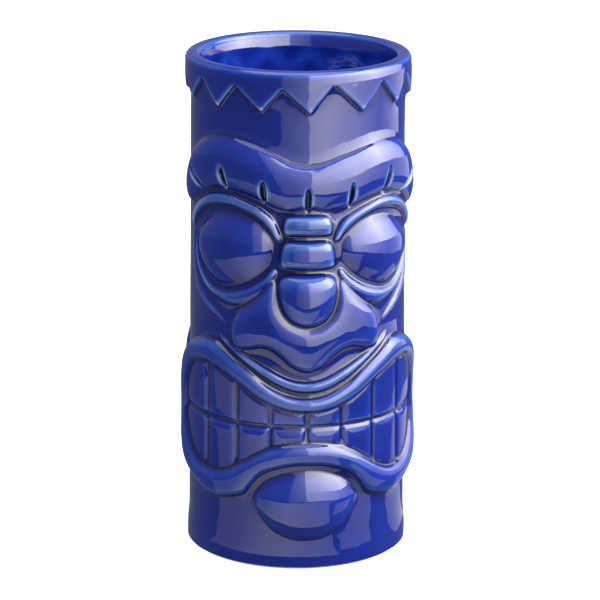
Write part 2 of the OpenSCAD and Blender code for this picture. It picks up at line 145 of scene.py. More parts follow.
def smooth_curve(points: Points, steps: int) -> np.ndarray:
    """Runs a smooth closed curve through given points.

    Args:
        points: the corners of the curve, in order.
        steps: short straight steps between two of them.

    Returns:
        The curve's points, one per row.
    """
    p = np.array(points, float)
    a, b, c, d = np.roll(p, 1, 0), p, np.roll(p, -1, 0), np.roll(p, -2, 0)
    rows = []
    for t in np.arange(steps) / steps:
        rows.append(
            b + (c - a) * t / 2 + (2 * a - 5 * b + 4 * c - d) * t * t / 2
            + (3 * b - a - 3 * c + d) * t ** 3 / 2
        )
    return np.stack(rows, 1).reshape(-1, 2)


def both_halves(points: Points) -> Points:
    """Closes a right-hand half outline with its mirror image."""
    left = tuple((-a, z) for a, z in reversed(points) if a > 0)
    return tuple(points) + left


def rolled_out(loop: np.ndarray) -> np.ndarray:
    """Turns degrees and millimetres into millimetres on the unrolled wall."""
    return loop * np.array([DEGREE, 1.0])


def mouth_outline() -> np.ndarray:
    """Gives the lips' inner edge, which the teeth fill, on the unrolled wall."""
    return rolled_out(smooth_curve(both_halves(LIPS_INNER), CURVE_STEPS))


def zigzag_line() -> np.ndarray:
    """Gives the zigzag's points all round the rim and well past it on both sides."""
    return np.concatenate([np.array(ZIGZAG) + [turn, 0] for turn in (-360, -180, 0, 180, 360)])


def eased(values: np.ndarray, span: tuple[float, float]) -> np.ndarray:
    """Runs smoothly from 0 to 1 over a span."""
    t = np.clip((np.asarray(values, float) - span[0]) / (span[1] - span[0]), 0, 1)
    return t * t * (3 - 2 * t)


def soft_distance(x: np.ndarray, z: np.ndarray, loops: list[np.ndarray]) -> np.ndarray:
    """Measures how far points lie inside a shape, rounded off in its middle.

    Near an edge this is the distance to it. Further in, where several edges are as close,
    it blends them, so that a form puffed up by it has no crease along its middle line.

    Args:
        x: places across the unrolled wall, in millimetres.
        z: heights, in millimetres.
        loops: closed outlines on the unrolled wall; the second and later ones are holes.

    Returns:
        Distances, positive inside and negative outside.
    """
    pull = np.zeros(x.shape)
    inside = np.zeros(x.shape, bool)
    for loop in loops:
        ends = np.roll(loop, -1, 0)
        for (ax, az), (bx, bz) in zip(loop, ends):
            length = math.hypot(bx - ax, bz - az)
            if length < 1e-9:
                continue
            tx, tz = (bx - ax) / length, (bz - az) / length
            dx, dz = x - ax, z - az
            s = dx * tx + dz * tz
            h2 = np.maximum((dx * tz - dz * tx) ** 2, 1e-6)
            far, near = length - s, -s
            pull += (far / np.sqrt(h2 + far * far) - near / np.sqrt(h2 + near * near)) / h2
            if az != bz:
                inside ^= ((az > z) != (bz > z)) & (x < ax + (z - az) * (bx - ax) / (bz - az))
    reach = np.sqrt(2.0 / np.maximum(pull, 1e-9))
    return np.where(inside, reach, -reach)


def blurred(values: np.ndarray, sigma: float) -> np.ndarray:
    """Softens a map of the whole wall with a Gaussian.

    Args:
        values: rows are heights, columns go round the wall and close into a ring.
        sigma: the Gaussian's width in map steps.

    Returns:
        The softened map.
    """
    reach = max(1, int(math.ceil(3 * sigma)))
    taps = np.exp(-0.5 * (np.arange(-reach, reach + 1) / sigma) ** 2)
    taps /= taps.sum()
    padded = np.pad(values, ((0, 0), (reach, reach)), mode="wrap")
    across = sum(w * padded[:, k:k + values.shape[1]] for k, w in enumerate(taps))
    padded = np.pad(across, ((reach, reach), (0, 0)), mode="edge")
    return sum(w * padded[k:k + values.shape[0], :] for k, w in enumerate(taps))


@dataclass(frozen=True)
class Sprig:
    """One clay sprig of the face: its outline and how it swells from its edge.

    Attributes:
        name: the sprig's name without its face and side.
        points: the outline; a right-hand half if the sprig crosses the middle.
        rise: how far it stands proud of the wall.
        roll: the distance over which its edge rolls up to that.
        softness: 0.5 rolls up like a quarter circle, 1 like a parabola.
        centred: whether it crosses the middle of the face.
        hole: the outline of an opening in it.
        crown: how much lower it lies a centimetre away from the middle of the face.
    """

    name: str
    points: Points
    rise: float
    roll: float
    softness: float = 0.5
    centred: bool = True
    hole: Points = ()
    crown: float = 0.0

    def loops(self) -> list[np.ndarray]:
        """Rolls the outline out flat.

        Returns:
            The outline and any opening as smooth loops on the unrolled wall.
        """
        found = []
        for points in (self.points, self.hole):
            if points:
                whole = both_halves(points) if self.centred else points
                found.append(rolled_out(smooth_curve(whole, CURVE_STEPS)))
        return found

    def swell(self, depth: np.ndarray, x: np.ndarray) -> np.ndarray:
        """Turns the distance inside the edge, and the place across, into height over the wall."""
        t = np.clip(depth / self.roll, 0.0, 1.0)
        return (self.rise - self.crown * (x / 10.0) ** 2) * (1.0 - (1.0 - t) ** 2) ** self.softness


SPRIGS = (
    Sprig("brow", BROW, 4.0, 8.0, 0.66),
    Sprig("upper_eyelid", UPPER_LID, 2.7, 2.3, 0.7, centred=False),
    Sprig("eye", EYE, 5.2, 12.0, 0.94, centred=False),
    Sprig("lower_eyelid", LOWER_LID, 2.4, 2.8, 0.8, centred=False),
    Sprig("cheek", CHEEK, 1.3, 1.7, 0.9, centred=False),
    Sprig("nose_bridge_upper", BRIDGE_UPPER, 4.4, 2.9, 0.6, crown=1.3),
    Sprig("nose_bridge_lower", BRIDGE_LOWER, 4.6, 3.2, 0.6, crown=1.3),
    Sprig("nose_tip", NOSE_TIP, 6.25, 5.6, 0.58, crown=1.6),
    Sprig("nostrils", NOSTRILS, 4.7, 5.6, 0.68, crown=0.16),
    Sprig("lip_fold", LIP_FOLD, 2.5, 2.0, 0.8),
    Sprig("lips", LIPS_OUTER, 4.0, 4.6, 0.62, hole=LIPS_INNER),
    Sprig("chin", CHIN, 5.6, 12.5, 1.0),
)


@dataclass(frozen=True)
class Leaf:
    """One leaf-shaped notch of the brow.

    Attributes:
        angle: degrees from the middle of the face.
        middle: height of its middle.
        length: its length.
        lean: how far it leans to the right, in degrees.
        half_width: half its width.
        depth: how deep it is cut.
        taper: how quickly it gets shallow towards its tips.
    """

    angle: float
    middle: float
    length: float
    lean: float
    half_width: float = 1.15
    depth: float = 2.3
    taper: float = 0.7

    def cut(self, x: np.ndarray, z: np.ndarray) -> np.ndarray:
        """Gives the notch's depth.

        Args:
            x: places across the unrolled wall, in millimetres.
            z: heights, in millimetres.

        Returns:
            How deep the notch is at each place.
        """
        turn = math.radians(self.lean)
        dx, dz = x - self.angle * DEGREE, z - self.middle
        along = dx * math.sin(turn) + dz * math.cos(turn)
        over = dx * math.cos(turn) - dz * math.sin(turn)
        taper = np.clip(1 - (2 * along / self.length) ** 2, 0, 1)
        side = np.clip(1 - (over / (self.half_width * taper + 1e-6)) ** 2, 0, 1)
        return self.depth * taper ** self.taper * side


# The right-hand notches; the left-hand ones are their mirror image.
BROW_LEAVES = (
    Leaf(0.0, 127.2, 9.0, 0.0), Leaf(22.0, 129.4, 9.0, 0.0), Leaf(44.5, 132.8, 10.6, 5.0),
    Leaf(65.0, 130.3, 9.5, 40.0),
)


@dataclass(frozen=True)
class Teeth:
    """The two rows of teeth, which fill the mouth.

    Attributes:
        bite: height of the line between the rows.
        gaps: degrees from the middle of the face to the gaps on its right side.
        edge_rise: how far a tooth stands proud beside its gap.
        crown: how much further it stands in its middle.
        round_over: the distance over which it rises to that.
        groove_depth: depth of the groove round a tooth.
        groove_width: half the groove's width.
        reach: degrees from the middle within which the mouth lies.
        span: heights between which the mouth lies.
    """

    bite: float = 50.0
    gaps: tuple[float, ...] = (0.0, 18.3, 37.0, 57.3)
    edge_rise: float = 0.95
    crown: float = 0.7
    round_over: float = 3.2
    groove_depth: float = 1.5
    groove_width: float = 0.5
    reach: float = 84.0
    span: tuple[float, float] = (30.0, 72.0)

    def swell(self, x: np.ndarray, z: np.ndarray) -> np.ndarray:
        """Gives the height of the teeth and of the grooves between them.

        Args:
            x: places across the unrolled wall, in millimetres.
            z: heights, in millimetres.

        Returns:
            Height over the wall, as if the whole face were mouth.
        """
        gap = np.abs(z - self.bite)
        for a in self.gaps:
            gap = np.minimum(gap, np.abs(x - a * DEGREE))
        puff = self.edge_rise + self.crown * np.sqrt(np.clip(gap / self.round_over, 0, 1))
        return puff - self.groove_depth * np.exp(-((gap / self.groove_width) ** 2))


@dataclass(frozen=True)
class Wave:
    """One slow wave in a slip-cast wall.

    Attributes:
        depth: its depth in millimetres.
        turns: waves round the wall.
        rises: waves up the wall, over a turn's length.
        phase: where it starts, in degrees.
    """

    depth: float
    turns: int
    rises: float
    phase: float


WAVES = (
    Wave(0.045, 5, 2.3, 20.0), Wave(0.045, 7, -3.1, 140.0), Wave(0.028, 11, 5.2, 75.0),
    Wave(0.020, 16, -7.5, 210.0), Wave(0.0065, 29, 13.0, 30.0), Wave(0.0055, 37, -17.0, 160.0),
    Wave(0.0040, 47, 21.0, 265.0), Wave(0.0028, 61, -27.0, 95.0),
)


@dataclass(frozen=True)
class FaceLayout:
    """Where a face lies on the mug and how it differs from the even one that is drawn.

    Attributes:
        turn: degrees round the mug from the front.
        width: share of the drawn face's width.
        relief: share of the drawn face's relief.
        drop: how much lower the brow sits, in millimetres.
        lean: how much lower than that the brow and the lid of the right side sit.
        drop_span: heights over which the drop comes in.
        lean_span: heights over which the lean comes in.
        lean_turn: degrees from the middle over which the lean comes in.
        rounds: how often unsettled heights are bettered.
    """

    turn: float
    width: float
    relief: float
    drop: float
    lean: float
    drop_span: tuple[float, float] = (80.0, 120.0)
    lean_span: tuple[float, float] = (104.0, 119.0)
    lean_turn: tuple[float, float] = (8.0, 27.0)
    rounds: int = 8

    def settled(self, angle: np.ndarray, z: np.ndarray) -> np.ndarray:
        """Moves heights of the drawn face to their place on this one.

        Args:
            angle: degrees from the middle of this face, before it is narrowed.
            z: heights on the drawn face.

        Returns:
            Heights on this face.
        """
        share = eased(angle, self.lean_turn) * eased(z, self.lean_span)
        return z - self.drop * eased(z, self.drop_span) - self.lean * share

    def unsettled(self, angle: np.ndarray, z: np.ndarray) -> np.ndarray:
        """Moves heights of this face back to the drawn face's, closer at each round.

        Args:
            angle: degrees from the middle of this face, before it is narrowed.
            z: heights on this face.

        Returns:
            Heights on the drawn face.
        """
        drawn = np.array(z, float)
        for _ in range(self.rounds):
            drawn += z - self.settled(angle, drawn)
        return drawn


class Side(Enum):
    """The two faces of the mug."""

    FRONT = FaceLayout(0.0, 1.0, 1.0, 0.0, 1.7)
    BACK = FaceLayout(180.0, 0.9, 0.72, 4.0, 0.0)


@dataclass
class Wall:
    """The plain wall that the face is laid on, read from the CAD nodes.

    Attributes:
        height: top of the rim.
        rim_r: outer radius of the rim.
        inside_r: radius of the straight inside.
        foot_r: radius of the flared foot.
        ring_h: height of the bare ring.
        lip_z: where the wall meets the rim's lip.
        band_z: lowest points of the zigzag.
        floor_z: top of the floor.
        top_r: outer radius of the plain wall under the lip.
        low_r: outer radius of the plain wall over the foot.
        flare_low: height at which the foot starts to narrow.
        flare_high: height at which it has narrowed to the wall.
        flare_ease: how much further up the flare runs out.
        thinnest: less than the wall's least thickness, which tells its outside from its inside.
        slack: how far the glazed flare stays inside the foot.
    """

    height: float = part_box("rim_lip")[1][2] / MM
    rim_r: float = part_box("rim_lip")[1][0] / MM
    inside_r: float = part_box("floor_disc")[1][0] / MM
    foot_r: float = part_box("foot_ring")[1][0] / MM
    ring_h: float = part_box("foot_ring")[1][2] / MM
    lip_z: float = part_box("rim_lip")[0][2] / MM
    band_z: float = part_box("rim_band")[0][2] / MM
    floor_z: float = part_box("floor_disc")[1][2] / MM
    top_r: float = 35.55
    low_r: float = 36.75
    flare_low: float = 4.0
    flare_high: float = 9.5
    flare_ease: float = 3.0
    slack: float = 0.05
    thinnest: float = 1.2

    def radius(self, z: np.ndarray) -> np.ndarray:
        """Gives the plain wall's outer radius.

        Args:
            z: heights in millimetres.

        Returns:
            The radius at each height.
        """
        slope = (self.top_r - self.low_r) / (self.lip_z - self.flare_high)
        cone = self.low_r + slope * (np.asarray(z, float) - self.flare_high)
        run_out = self.flare_high + self.flare_ease
        flare = np.clip((run_out - z) / (run_out - self.flare_low), 0, 1)
        return cone + (self.foot_r - self.slack - self.low_r) * flare * flare * (3 - 2 * flare)


@dataclass
class Relief:
    """The face and the zigzag band as one map of height over the plain wall.

    Its maps have heights as rows and degrees round the wall as columns.

    Attributes:
        wall: the plain wall.
        teeth: the rows of teeth.
        step: the map's spacing in millimetres.
        soften: how far the coat of glaze rounds the edges off.
        leaf_soften: how far it rounds off the brow's notches.
        fill: how far clay and glaze fill the corners between two forms.
        fill_share: how high they fill them, as a share of the forms' height.
        fill_power: how sharply the fill gives way to the forms.
        near_pool: width of the ridges and hollows that the glaze answers to.
        wide_pool: width of the broader ones.
        wide_share: how much the broader ones count.
        echo: how soft the forms' echo is on the inside.
        echo_line: width of the painted highlight lines where that echo bends.
        half_reach: degrees from the middle of a face within which it lies.
        margin: how far past a form its height is worked out.
        band_rise: how far the zigzag band stands proud.
        band_roll: the distance over which its edge rolls up to that.
        band_reach: how far from its edge the roll is looked for.
        height: height over the plain wall.
        depth: how far each place lies inside the foremost form.
        pooled: how thickly the glaze has pooled.
        inner: the forms' soft echo on the inside.
        inside_painted_highlight: pale lines painted where the echo bends, a painted highlight given as
            thinner glaze.
        slope_x: the height's slope round the wall.
        slope_z: the height's slope up the wall.
    """

    wall: Wall
    teeth: Teeth = Teeth()
    step: float = 0.2
    soften: float = 0.38
    leaf_soften: float = 0.24
    fill: float = 1.9
    fill_share: float = 0.64
    fill_power: int = 6
    near_pool: float = 0.8
    wide_pool: float = 2.4
    wide_share: float = 0.08
    echo: float = 2.2
    echo_line: float = 1.7
    half_reach: float = 100.0
    margin: float = 3.0
    band_rise: float = 1.95
    band_roll: float = 0.9
    band_reach: float = 5.0
    height: np.ndarray = field(init=False)
    depth: np.ndarray = field(init=False)
    pooled: np.ndarray = field(init=False)
    inner: np.ndarray = field(init=False)
    inside_painted_highlight: np.ndarray = field(init=False)
    slope_x: np.ndarray = field(init=False)
    slope_z: np.ndarray = field(init=False)

    def __post_init__(self) -> None:
        """Raises the face, lays it on both sides and coats it."""
        self.columns = int(round(2 * math.pi * ROLL_R / self.step))
        self.pitch = 360.0 / self.columns
        self.rows = int(math.ceil(self.wall.height / self.step)) + 1
        angle = np.arange(self.columns) * self.pitch - 180.0
        z = np.arange(self.rows) * self.step
        around, up = np.meshgrid(angle, z)
        forms, leaves = self._faces(around, up)
        band = self._band(angle, z)
        forms = np.maximum(forms, band)
        self.depth = np.where(band > 0, 1.0, self.depth)
        self.height = self._coated(forms, leaves) + self._waves(around, up)
        tight = blurred(self.height, self.near_pool / self.step)
        wide = blurred(self.height, self.wide_pool / self.step)
        self.pooled = (tight - self.height) + self.wide_share * (wide - self.height)
        self.inner = blurred(forms, self.echo / self.step)
        # Painted highlight: pale lines where the inside's soft echo slopes, given as a thinner coat of
        # glaze.
        lines = np.gradient(blurred(forms, self.echo_line / self.step), self.step)
        self.inside_painted_highlight = -np.hypot(*lines)
        self.slope_z, self.slope_x = np.gradient(self.height, self.step)
        self.slope_x[:, 0] = (self.height[:, 1] - self.height[:, -1]) / (2 * self.step)
        self.slope_x[:, -1] = (self.height[:, 0] - self.height[:, -2]) / (2 * self.step)

    def _faces(self, around: np.ndarray, up: np.ndarray) -> tuple[np.ndarray, np.ndarray]:
        """Lays the drawn face on both sides of the wall and notes how deep inside a form each place is.

        Args:
            around: degrees from the front.
            up: heights in millimetres.

        Returns:
            The height of the forms and the depth of the brow's notches.
        """
        forms, leaves = np.zeros(up.shape), np.zeros(up.shape)
        self.depth = np.full(up.shape, FAR_OUT)
        drawn_forms, drawn_leaves, drawn_depth = self._half_face()
        for side in Side:
            face = side.value
            turned = ((around - face.turn + 180.0) % 360.0 - 180.0) / face.width
            across = np.abs(turned) * DEGREE / self.step
            rows = face.unsettled(turned, up) / self.step
            near = np.abs(turned) < self.half_reach
            forms = np.maximum(forms, near * face.relief * self._looked_up(drawn_forms, across, rows))
            leaves = np.maximum(leaves, near * face.relief * self._looked_up(drawn_leaves, across, rows))
            depth = np.where(near, self._looked_up(drawn_depth, across, rows), FAR_OUT)
            self.depth = np.maximum(self.depth, depth)
        return forms, leaves

    def _coated(self, forms: np.ndarray, leaves: np.ndarray) -> np.ndarray:
        """Rounds the edges and fills the corners of the forms, as clay slip and glaze do.

        Args:
            forms: the height of the forms.
            leaves: the depth of the brow's notches.

        Returns:
            The height of the glazed surface.
        """
        power = self.fill_power
        crisp = blurred(forms, self.soften / self.step)
        broad = self.fill_share * blurred(forms, self.fill / self.step)
        filled = (crisp ** power + broad ** power) ** (1 / power)
        filled = filled * (1 + self.fill_share ** power) ** (-1 / power)
        return filled - blurred(leaves, self.leaf_soften / self.step)

    @staticmethod
    def _waves(angle: np.ndarray, z: np.ndarray) -> np.ndarray:
        """Adds up the slow waves of the wall.

        Args:
            angle: degrees from the front.
            z: heights in millimetres.

        Returns:
            Their height at each place.
        """
        total = np.zeros(np.shape(z))
        for w in WAVES:
            up = w.rises * z / ROLL_R
            total += w.depth * np.sin(np.radians(w.turns * angle + w.phase)) * np.cos(up + w.phase)
            total += w.depth * np.cos(np.radians((w.turns + 1) * angle - w.phase)) * np.sin(up)
        return total

    def _half_face(self) -> tuple[np.ndarray, np.ndarray, np.ndarray]:
        """Raises the right half of the drawn face.

        Returns:
            The forms' height, the notches' depth, and how far each place lies inside a form.
        """
        x_axis = np.arange(int(self.half_reach * DEGREE / self.step)) * self.step
        x, z = np.meshgrid(x_axis, np.arange(self.rows) * self.step)
        forms, inside = np.zeros(x.shape), np.full(x.shape, FAR_OUT)
        for sprig in SPRIGS:
            loops = sprig.loops()
            low, high = loops[0].min(0) - self.margin, loops[0].max(0) + self.margin
            cols = slice(max(0, int(low[0] / self.step)), int(high[0] / self.step) + 2)
            rows = slice(max(0, int(low[1] / self.step)), int(high[1] / self.step) + 2)
            depth = soft_distance(x[rows, cols], z[rows, cols], loops)
            forms[rows, cols] = np.maximum(forms[rows, cols], sprig.swell(depth, x[rows, cols]))
            inside[rows, cols] = np.maximum(inside[rows, cols], depth)
        cols = slice(0, int(self.teeth.reach * DEGREE / self.step))
        rows = slice(int(self.teeth.span[0] / self.step), int(self.teeth.span[1] / self.step))
        px, pz = x[rows, cols], z[rows, cols]
        mouth = soft_distance(px, pz, [mouth_outline()])
        teeth = np.where(mouth > 0, self.teeth.swell(px, pz), 0.0)
        forms[rows, cols] = np.maximum(forms[rows, cols], teeth)
        inside[rows, cols] = np.maximum(inside[rows, cols], mouth)
        leaves = np.zeros(x.shape)
        for leaf in BROW_LEAVES:
            leaves = np.maximum(leaves, leaf.cut(x, z))
        return forms, leaves, inside

    def _band(self, angle: np.ndarray, z: np.ndarray) -> np.ndarray:
        """Raises the zigzag band under the rim.

        Args:
            angle: degrees from the front of the map's columns.
            z: heights of the map's rows.

        Returns:
            The band's height over the wall, as a map.
        """
        line = zigzag_line() * [DEGREE, 1.0]
        first = int((self.wall.band_z - self.margin) / self.step)
        across, reach = angle * DEGREE, self.band_reach
        x, height = np.meshgrid(across, z[first:])
        nearest = np.full(x.shape, -FAR_OUT)
        for (ax, az), (bx, bz) in zip(line[:-1], line[1:]):
            if bx < x.min() - reach or ax > x.max() + reach:
                continue
            cols = np.flatnonzero((across > ax - reach) & (across < bx + reach))
            px, pz, dx, dz = x[:, cols], height[:, cols], bx - ax, bz - az
            t = np.clip(((px - ax) * dx + (pz - az) * dz) / (dx ** 2 + dz ** 2), 0, 1)
            away = np.hypot(px - ax - t * dx, pz - az - t * dz)
            nearest[:, cols] = np.minimum(nearest[:, cols], away)
        above = height > np.interp(x, line[:, 0], line[:, 1])
        t = np.clip(nearest / self.band_roll, 0, 1)
        raised = np.zeros((self.rows, self.columns))
        raised[first:] = np.where(above, self.band_rise * np.sqrt(1 - (1 - t) ** 2), 0.0)
        return raised

    @staticmethod
    def _looked_up(values: np.ndarray, across: np.ndarray, up: np.ndarray) -> np.ndarray:
        """Reads a map at fractional columns and rows, flat beyond its edges.

        Args:
            values: the map.
            across: columns.
            up: rows.

        Returns:
            The map's value at each place.
        """
        c = np.clip(across, 0, values.shape[1] - 1.001)
        r = np.clip(up, 0, values.shape[0] - 1.001)
        c0, r0 = c.astype(int), r.astype(int)
        fc, fr = c - c0, r - r0
        low = values[r0, c0] * (1 - fc) + values[r0, c0 + 1] * fc
        high = values[r0 + 1, c0] * (1 - fc) + values[r0 + 1, c0 + 1] * fc
        return low * (1 - fr) + high * fr

    def read(self, values: np.ndarray, angle: np.ndarray, z: np.ndarray) -> np.ndarray:
        """Reads a full map at points given by angle and height.

        Args:
            values: one of this relief's maps.
            angle: degrees from the front, any turn.
            z: heights in millimetres.

        Returns:
            The map's value at each point.
        """
        c = ((np.asarray(angle) + 180.0) % 360.0) / self.pitch
        r = np.clip(np.asarray(z) / self.step, 0, self.rows - 1.001)
        c0, r0 = np.floor(c).astype(int), r.astype(int)
        fc, fr = c - c0, r - r0
        c0 %= self.columns
        c1 = (c0 + 1) % self.columns
        low = values[r0, c0] * (1 - fc) + values[r0, c1] * fc
        high = values[r0 + 1, c0] * (1 - fc) + values[r0 + 1, c1] * fc
        return low * (1 - fr) + high * fr

    def surface(self, angle: np.ndarray, z: np.ndarray) -> tuple[np.ndarray, np.ndarray, np.ndarray]:
        """Gives the glazed surface over points of the wall.

        Args:
            angle: degrees from the front.
            z: heights in millimetres.

        Returns:
            Radii in millimetres, outward normals, and how thickly the glaze has pooled.
        """
        radius = self.wall.radius(z) + self.read(self.height, angle, z)
        wall_lean = self.wall.radius(z + 0.5) - self.wall.radius(z - 0.5)
        lean = wall_lean + self.read(self.slope_z, angle, z)
        turn = self.read(self.slope_x, angle, z) * ROLL_R / radius
        a = np.radians(angle)
        out = np.stack([np.sin(a), -np.cos(a), np.zeros_like(a)], 1)
        along = np.stack([np.cos(a), np.sin(a), np.zeros_like(a)], 1)
        normal = out - turn[:, None] * along
        normal[:, 2] -= lean
        normal /= np.linalg.norm(normal, axis=1)[:, None]
        return radius, normal, self.read(self.pooled, angle, z)


# ---------------------------------------------------------------- finishes


@dataclass(frozen=True)
class CobaltGlaze:
    """Glossy cobalt glaze: dark where it pools, pale where it breaks thin over an edge.

    Attributes:
        name: the finish's name.
        pooled: its colour where it has pooled.
        body: its colour in an even coat.
        lit: its colour in a coat a little thinner than that.
        thin: its colour where it is thin.
        broken: its colour where the clay shows through.
        stops: how thick the coat is at each of them, from broken to pooled.
        roughness: roughness of its surface.
        ior: its index of refraction.
        cloud: how strongly its thickness clouds.
        cloud_scale: how fine the clouds are.
        cloud_detail: how ragged they are.
    """

    name: str = "cobalt_glaze"
    pooled: tuple[float, float, float] = (0.004, 0.006, 0.06)
    body: tuple[float, float, float] = (0.007, 0.021, 0.25)
    lit: tuple[float, float, float] = (0.009, 0.033, 0.35)
    thin: tuple[float, float, float] = (0.038, 0.115, 0.45)
    broken: tuple[float, float, float] = (0.34, 0.47, 0.72)
    stops: tuple[float, ...] = (0.04, 0.24, 0.40, 0.48, 0.74)
    roughness: float = 0.03
    ior: float = 1.52
    cloud: float = 0.10
    cloud_scale: float = 90.0
    cloud_detail: float = 4.0

    def material(self) -> bpy.types.Material:
        """Builds the glaze.

        Returns:
            A node material that reads the glaze_pool attribute, which on the wall's inside holds painted
            highlight lines.
        """
        made = bpy.data.materials.new(self.name)
        made.use_nodes = True
        tree = made.node_tree
        shader = tree.nodes["Principled BSDF"]
        shader.inputs["Roughness"].default_value = self.roughness
        shader.inputs["IOR"].default_value = self.ior
        pool = tree.nodes.new("ShaderNodeAttribute")
        pool.attribute_name = "glaze_pool"
        ramp = tree.nodes.new("ShaderNodeValToRGB")
        ramp.color_ramp.interpolation = "EASE"
        while len(ramp.color_ramp.elements) < len(self.stops):
            ramp.color_ramp.elements.new(0.5)
        colours = (self.broken, self.thin, self.lit, self.body, self.pooled)
        for element, stop, colour in zip(ramp.color_ramp.elements, self.stops, colours):
            element.position = stop
            element.color = (*colour, 1.0)
        cloud = tree.nodes.new("ShaderNodeTexNoise")
        cloud.inputs["Scale"].default_value = self.cloud_scale
        cloud.inputs["Detail"].default_value = self.cloud_detail
        where = tree.nodes.new("ShaderNodeTexCoord")
        mixed = tree.nodes.new("ShaderNodeMath")
        mixed.operation = "MULTIPLY_ADD"
        mixed.inputs[1].default_value = self.cloud
        tree.links.new(where.outputs["Object"], cloud.inputs["Vector"])
        tree.links.new(cloud.outputs["Fac"], mixed.inputs[0])
        tree.links.new(pool.outputs["Fac"], mixed.inputs[2])
        tree.links.new(mixed.outputs[0], ramp.inputs["Fac"])
        tree.links.new(ramp.outputs["Color"], shader.inputs["Base Color"])
        return made


@dataclass(frozen=True)
class BareClay:
    """Unglazed fired clay of the foot.

    Attributes:
        name: the finish's name.
        light: the clay's colour.
        dark: the colour of its specks.
        stops: where on the specks' pattern the two colours begin.
        roughness: roughness of its surface.
        speck_scale: how fine the specks are.
        speck_detail: how ragged they are.
        grain: how strongly the surface is pitted.
        grain_depth: how deep the pits are, in metres.
    """

    name: str = "bare_clay"
    light: tuple[float, float, float] = (0.72, 0.66, 0.56)
    dark: tuple[float, float, float] = (0.55, 0.48, 0.38)
    stops: tuple[float, float] = (0.38, 0.62)
    roughness: float = 0.85
    speck_scale: float = 900.0
    speck_detail: float = 6.0
    grain: float = 0.3
    grain_depth: float = 0.0001

    def material(self) -> bpy.types.Material:
        """Builds the clay.

        Returns:
            A speckled matt node material.
        """
        made = bpy.data.materials.new(self.name)
        made.use_nodes = True
        tree = made.node_tree
        shader = tree.nodes["Principled BSDF"]
        shader.inputs["Roughness"].default_value = self.roughness
        where = tree.nodes.new("ShaderNodeTexCoord")
        speck = tree.nodes.new("ShaderNodeTexNoise")
        speck.inputs["Scale"].default_value = self.speck_scale
        speck.inputs["Detail"].default_value = self.speck_detail
        ramp = tree.nodes.new("ShaderNodeValToRGB")
        for element, stop, colour in zip(ramp.color_ramp.elements, self.stops, (self.dark, self.light)):
            element.position = stop
            element.color = (*colour, 1.0)
        bump = tree.nodes.new("ShaderNodeBump")
        bump.inputs["Strength"].default_value = self.grain
        bump.inputs["Distance"].default_value = self.grain_depth
        tree.links.new(where.outputs["Object"], speck.inputs["Vector"])
        tree.links.new(speck.outputs["Fac"], ramp.inputs["Fac"])
        tree.links.new(ramp.outputs["Color"], shader.inputs["Base Color"])
        tree.links.new(speck.outputs["Fac"], bump.inputs["Height"])
        tree.links.new(bump.outputs["Normal"], shader.inputs["Normal"])
        return made


# ---------------------------------------------------------------- mesh helpers


def select_only(piece: bpy.types.Object) -> None:
    """Makes one piece the only selected and the active one.

    Args:
        piece: the piece.
    """
    bpy.ops.object.select_all(action="DESELECT")
    piece.select_set(True)
    bpy.context.view_layer.objects.active = piece


def coords(piece: bpy.types.Object) -> np.ndarray:
    """Reads where a piece's vertices are.

    Args:
        piece: the piece.

    Returns:
        Their places as rows of three.
    """
    flat = np.empty(len(piece.data.vertices) * 3)
    piece.data.vertices.foreach_get("co", flat)
    return flat.reshape(-1, 3)


def place(piece: bpy.types.Object, where: np.ndarray) -> None:
    """Writes a piece's vertex places."""
    piece.data.vertices.foreach_set("co", np.ascontiguousarray(where, np.float32).ravel())
    piece.data.update()


def new_grid(name: str, columns: int, rows: int) -> bpy.types.Object:
    """Adds a flat square grid a metre wide.

    Args:
        name: the piece's name.
        columns: faces across.
        rows: faces up.

    Returns:
        The grid, which is the only selected and the active piece.
    """
    bpy.ops.object.select_all(action="DESELECT")
    bpy.ops.mesh.primitive_grid_add(x_subdivisions=columns, y_subdivisions=rows, size=1.0)
    piece = bpy.context.active_object
    piece.name = piece.data.name = name
    return piece


def flat_grid(
    name: str, low: tuple[float, float], high: tuple[float, float], spacing: float
) -> bpy.types.Object:
    """Lays a flat grid of clay over a box of the unrolled wall, in millimetres.

    Args:
        name: the piece's name.
        low: lowest place across and lowest height.
        high: highest place across and highest height.
        spacing: the size of a cell.

    Returns:
        The grid, with its own mesh in millimetres.
    """
    across, up = high[0] - low[0], high[1] - low[1]
    piece = new_grid(name, max(2, round(across / spacing)), max(2, round(up / spacing)))
    where = coords(piece)
    where[:, 0] = low[0] + (where[:, 0] + 0.5) * across
    where[:, 1] = low[1] + (where[:, 1] + 0.5) * up
    place(piece, where)
    return piece


def ring_of_faces(name: str, angle: np.ndarray, radius: np.ndarray, z: np.ndarray) -> bpy.types.Object:
    """Rolls a grid of faces into a closed ring about the mug's axis.

    Args:
        name: the piece's name.
        angle: degrees from the front; a row is one section of the ring.
        radius: radii in millimetres, laid out like the angles.
        z: heights in millimetres, laid out like the angles.

    Returns:
        The ring, with its seams merged and its faces outwards.
    """
    sections, corners = angle.shape
    piece = new_grid(name, corners, sections)
    pick = np.ix_(np.arange(sections + 1) % sections, np.arange(corners + 1) % corners)
    a, r, up = np.radians(angle[pick]).ravel(), radius[pick].ravel(), z[pick].ravel()
    place(piece, np.stack([np.sin(a) * r, -np.cos(a) * r, up], 1) * MM)
    face_outward(piece, merge=0.01 * MM)
    return piece


def revolved(name: str, profile: list[tuple[float, float]], steps: int) -> bpy.types.Object:
    """Turns a closed profile about the mug's axis.

    Args:
        name: the piece's name.
        profile: its corners as radius and height, in millimetres.
        steps: faces round the axis.

    Returns:
        The ring.
    """
    p = np.array(profile)
    angle = np.arange(steps)[:, None] * 360.0 / steps + 0 * p[:, 0]
    return ring_of_faces(name, angle, p[:, 0] + 0 * angle, p[:, 1] + 0 * angle)


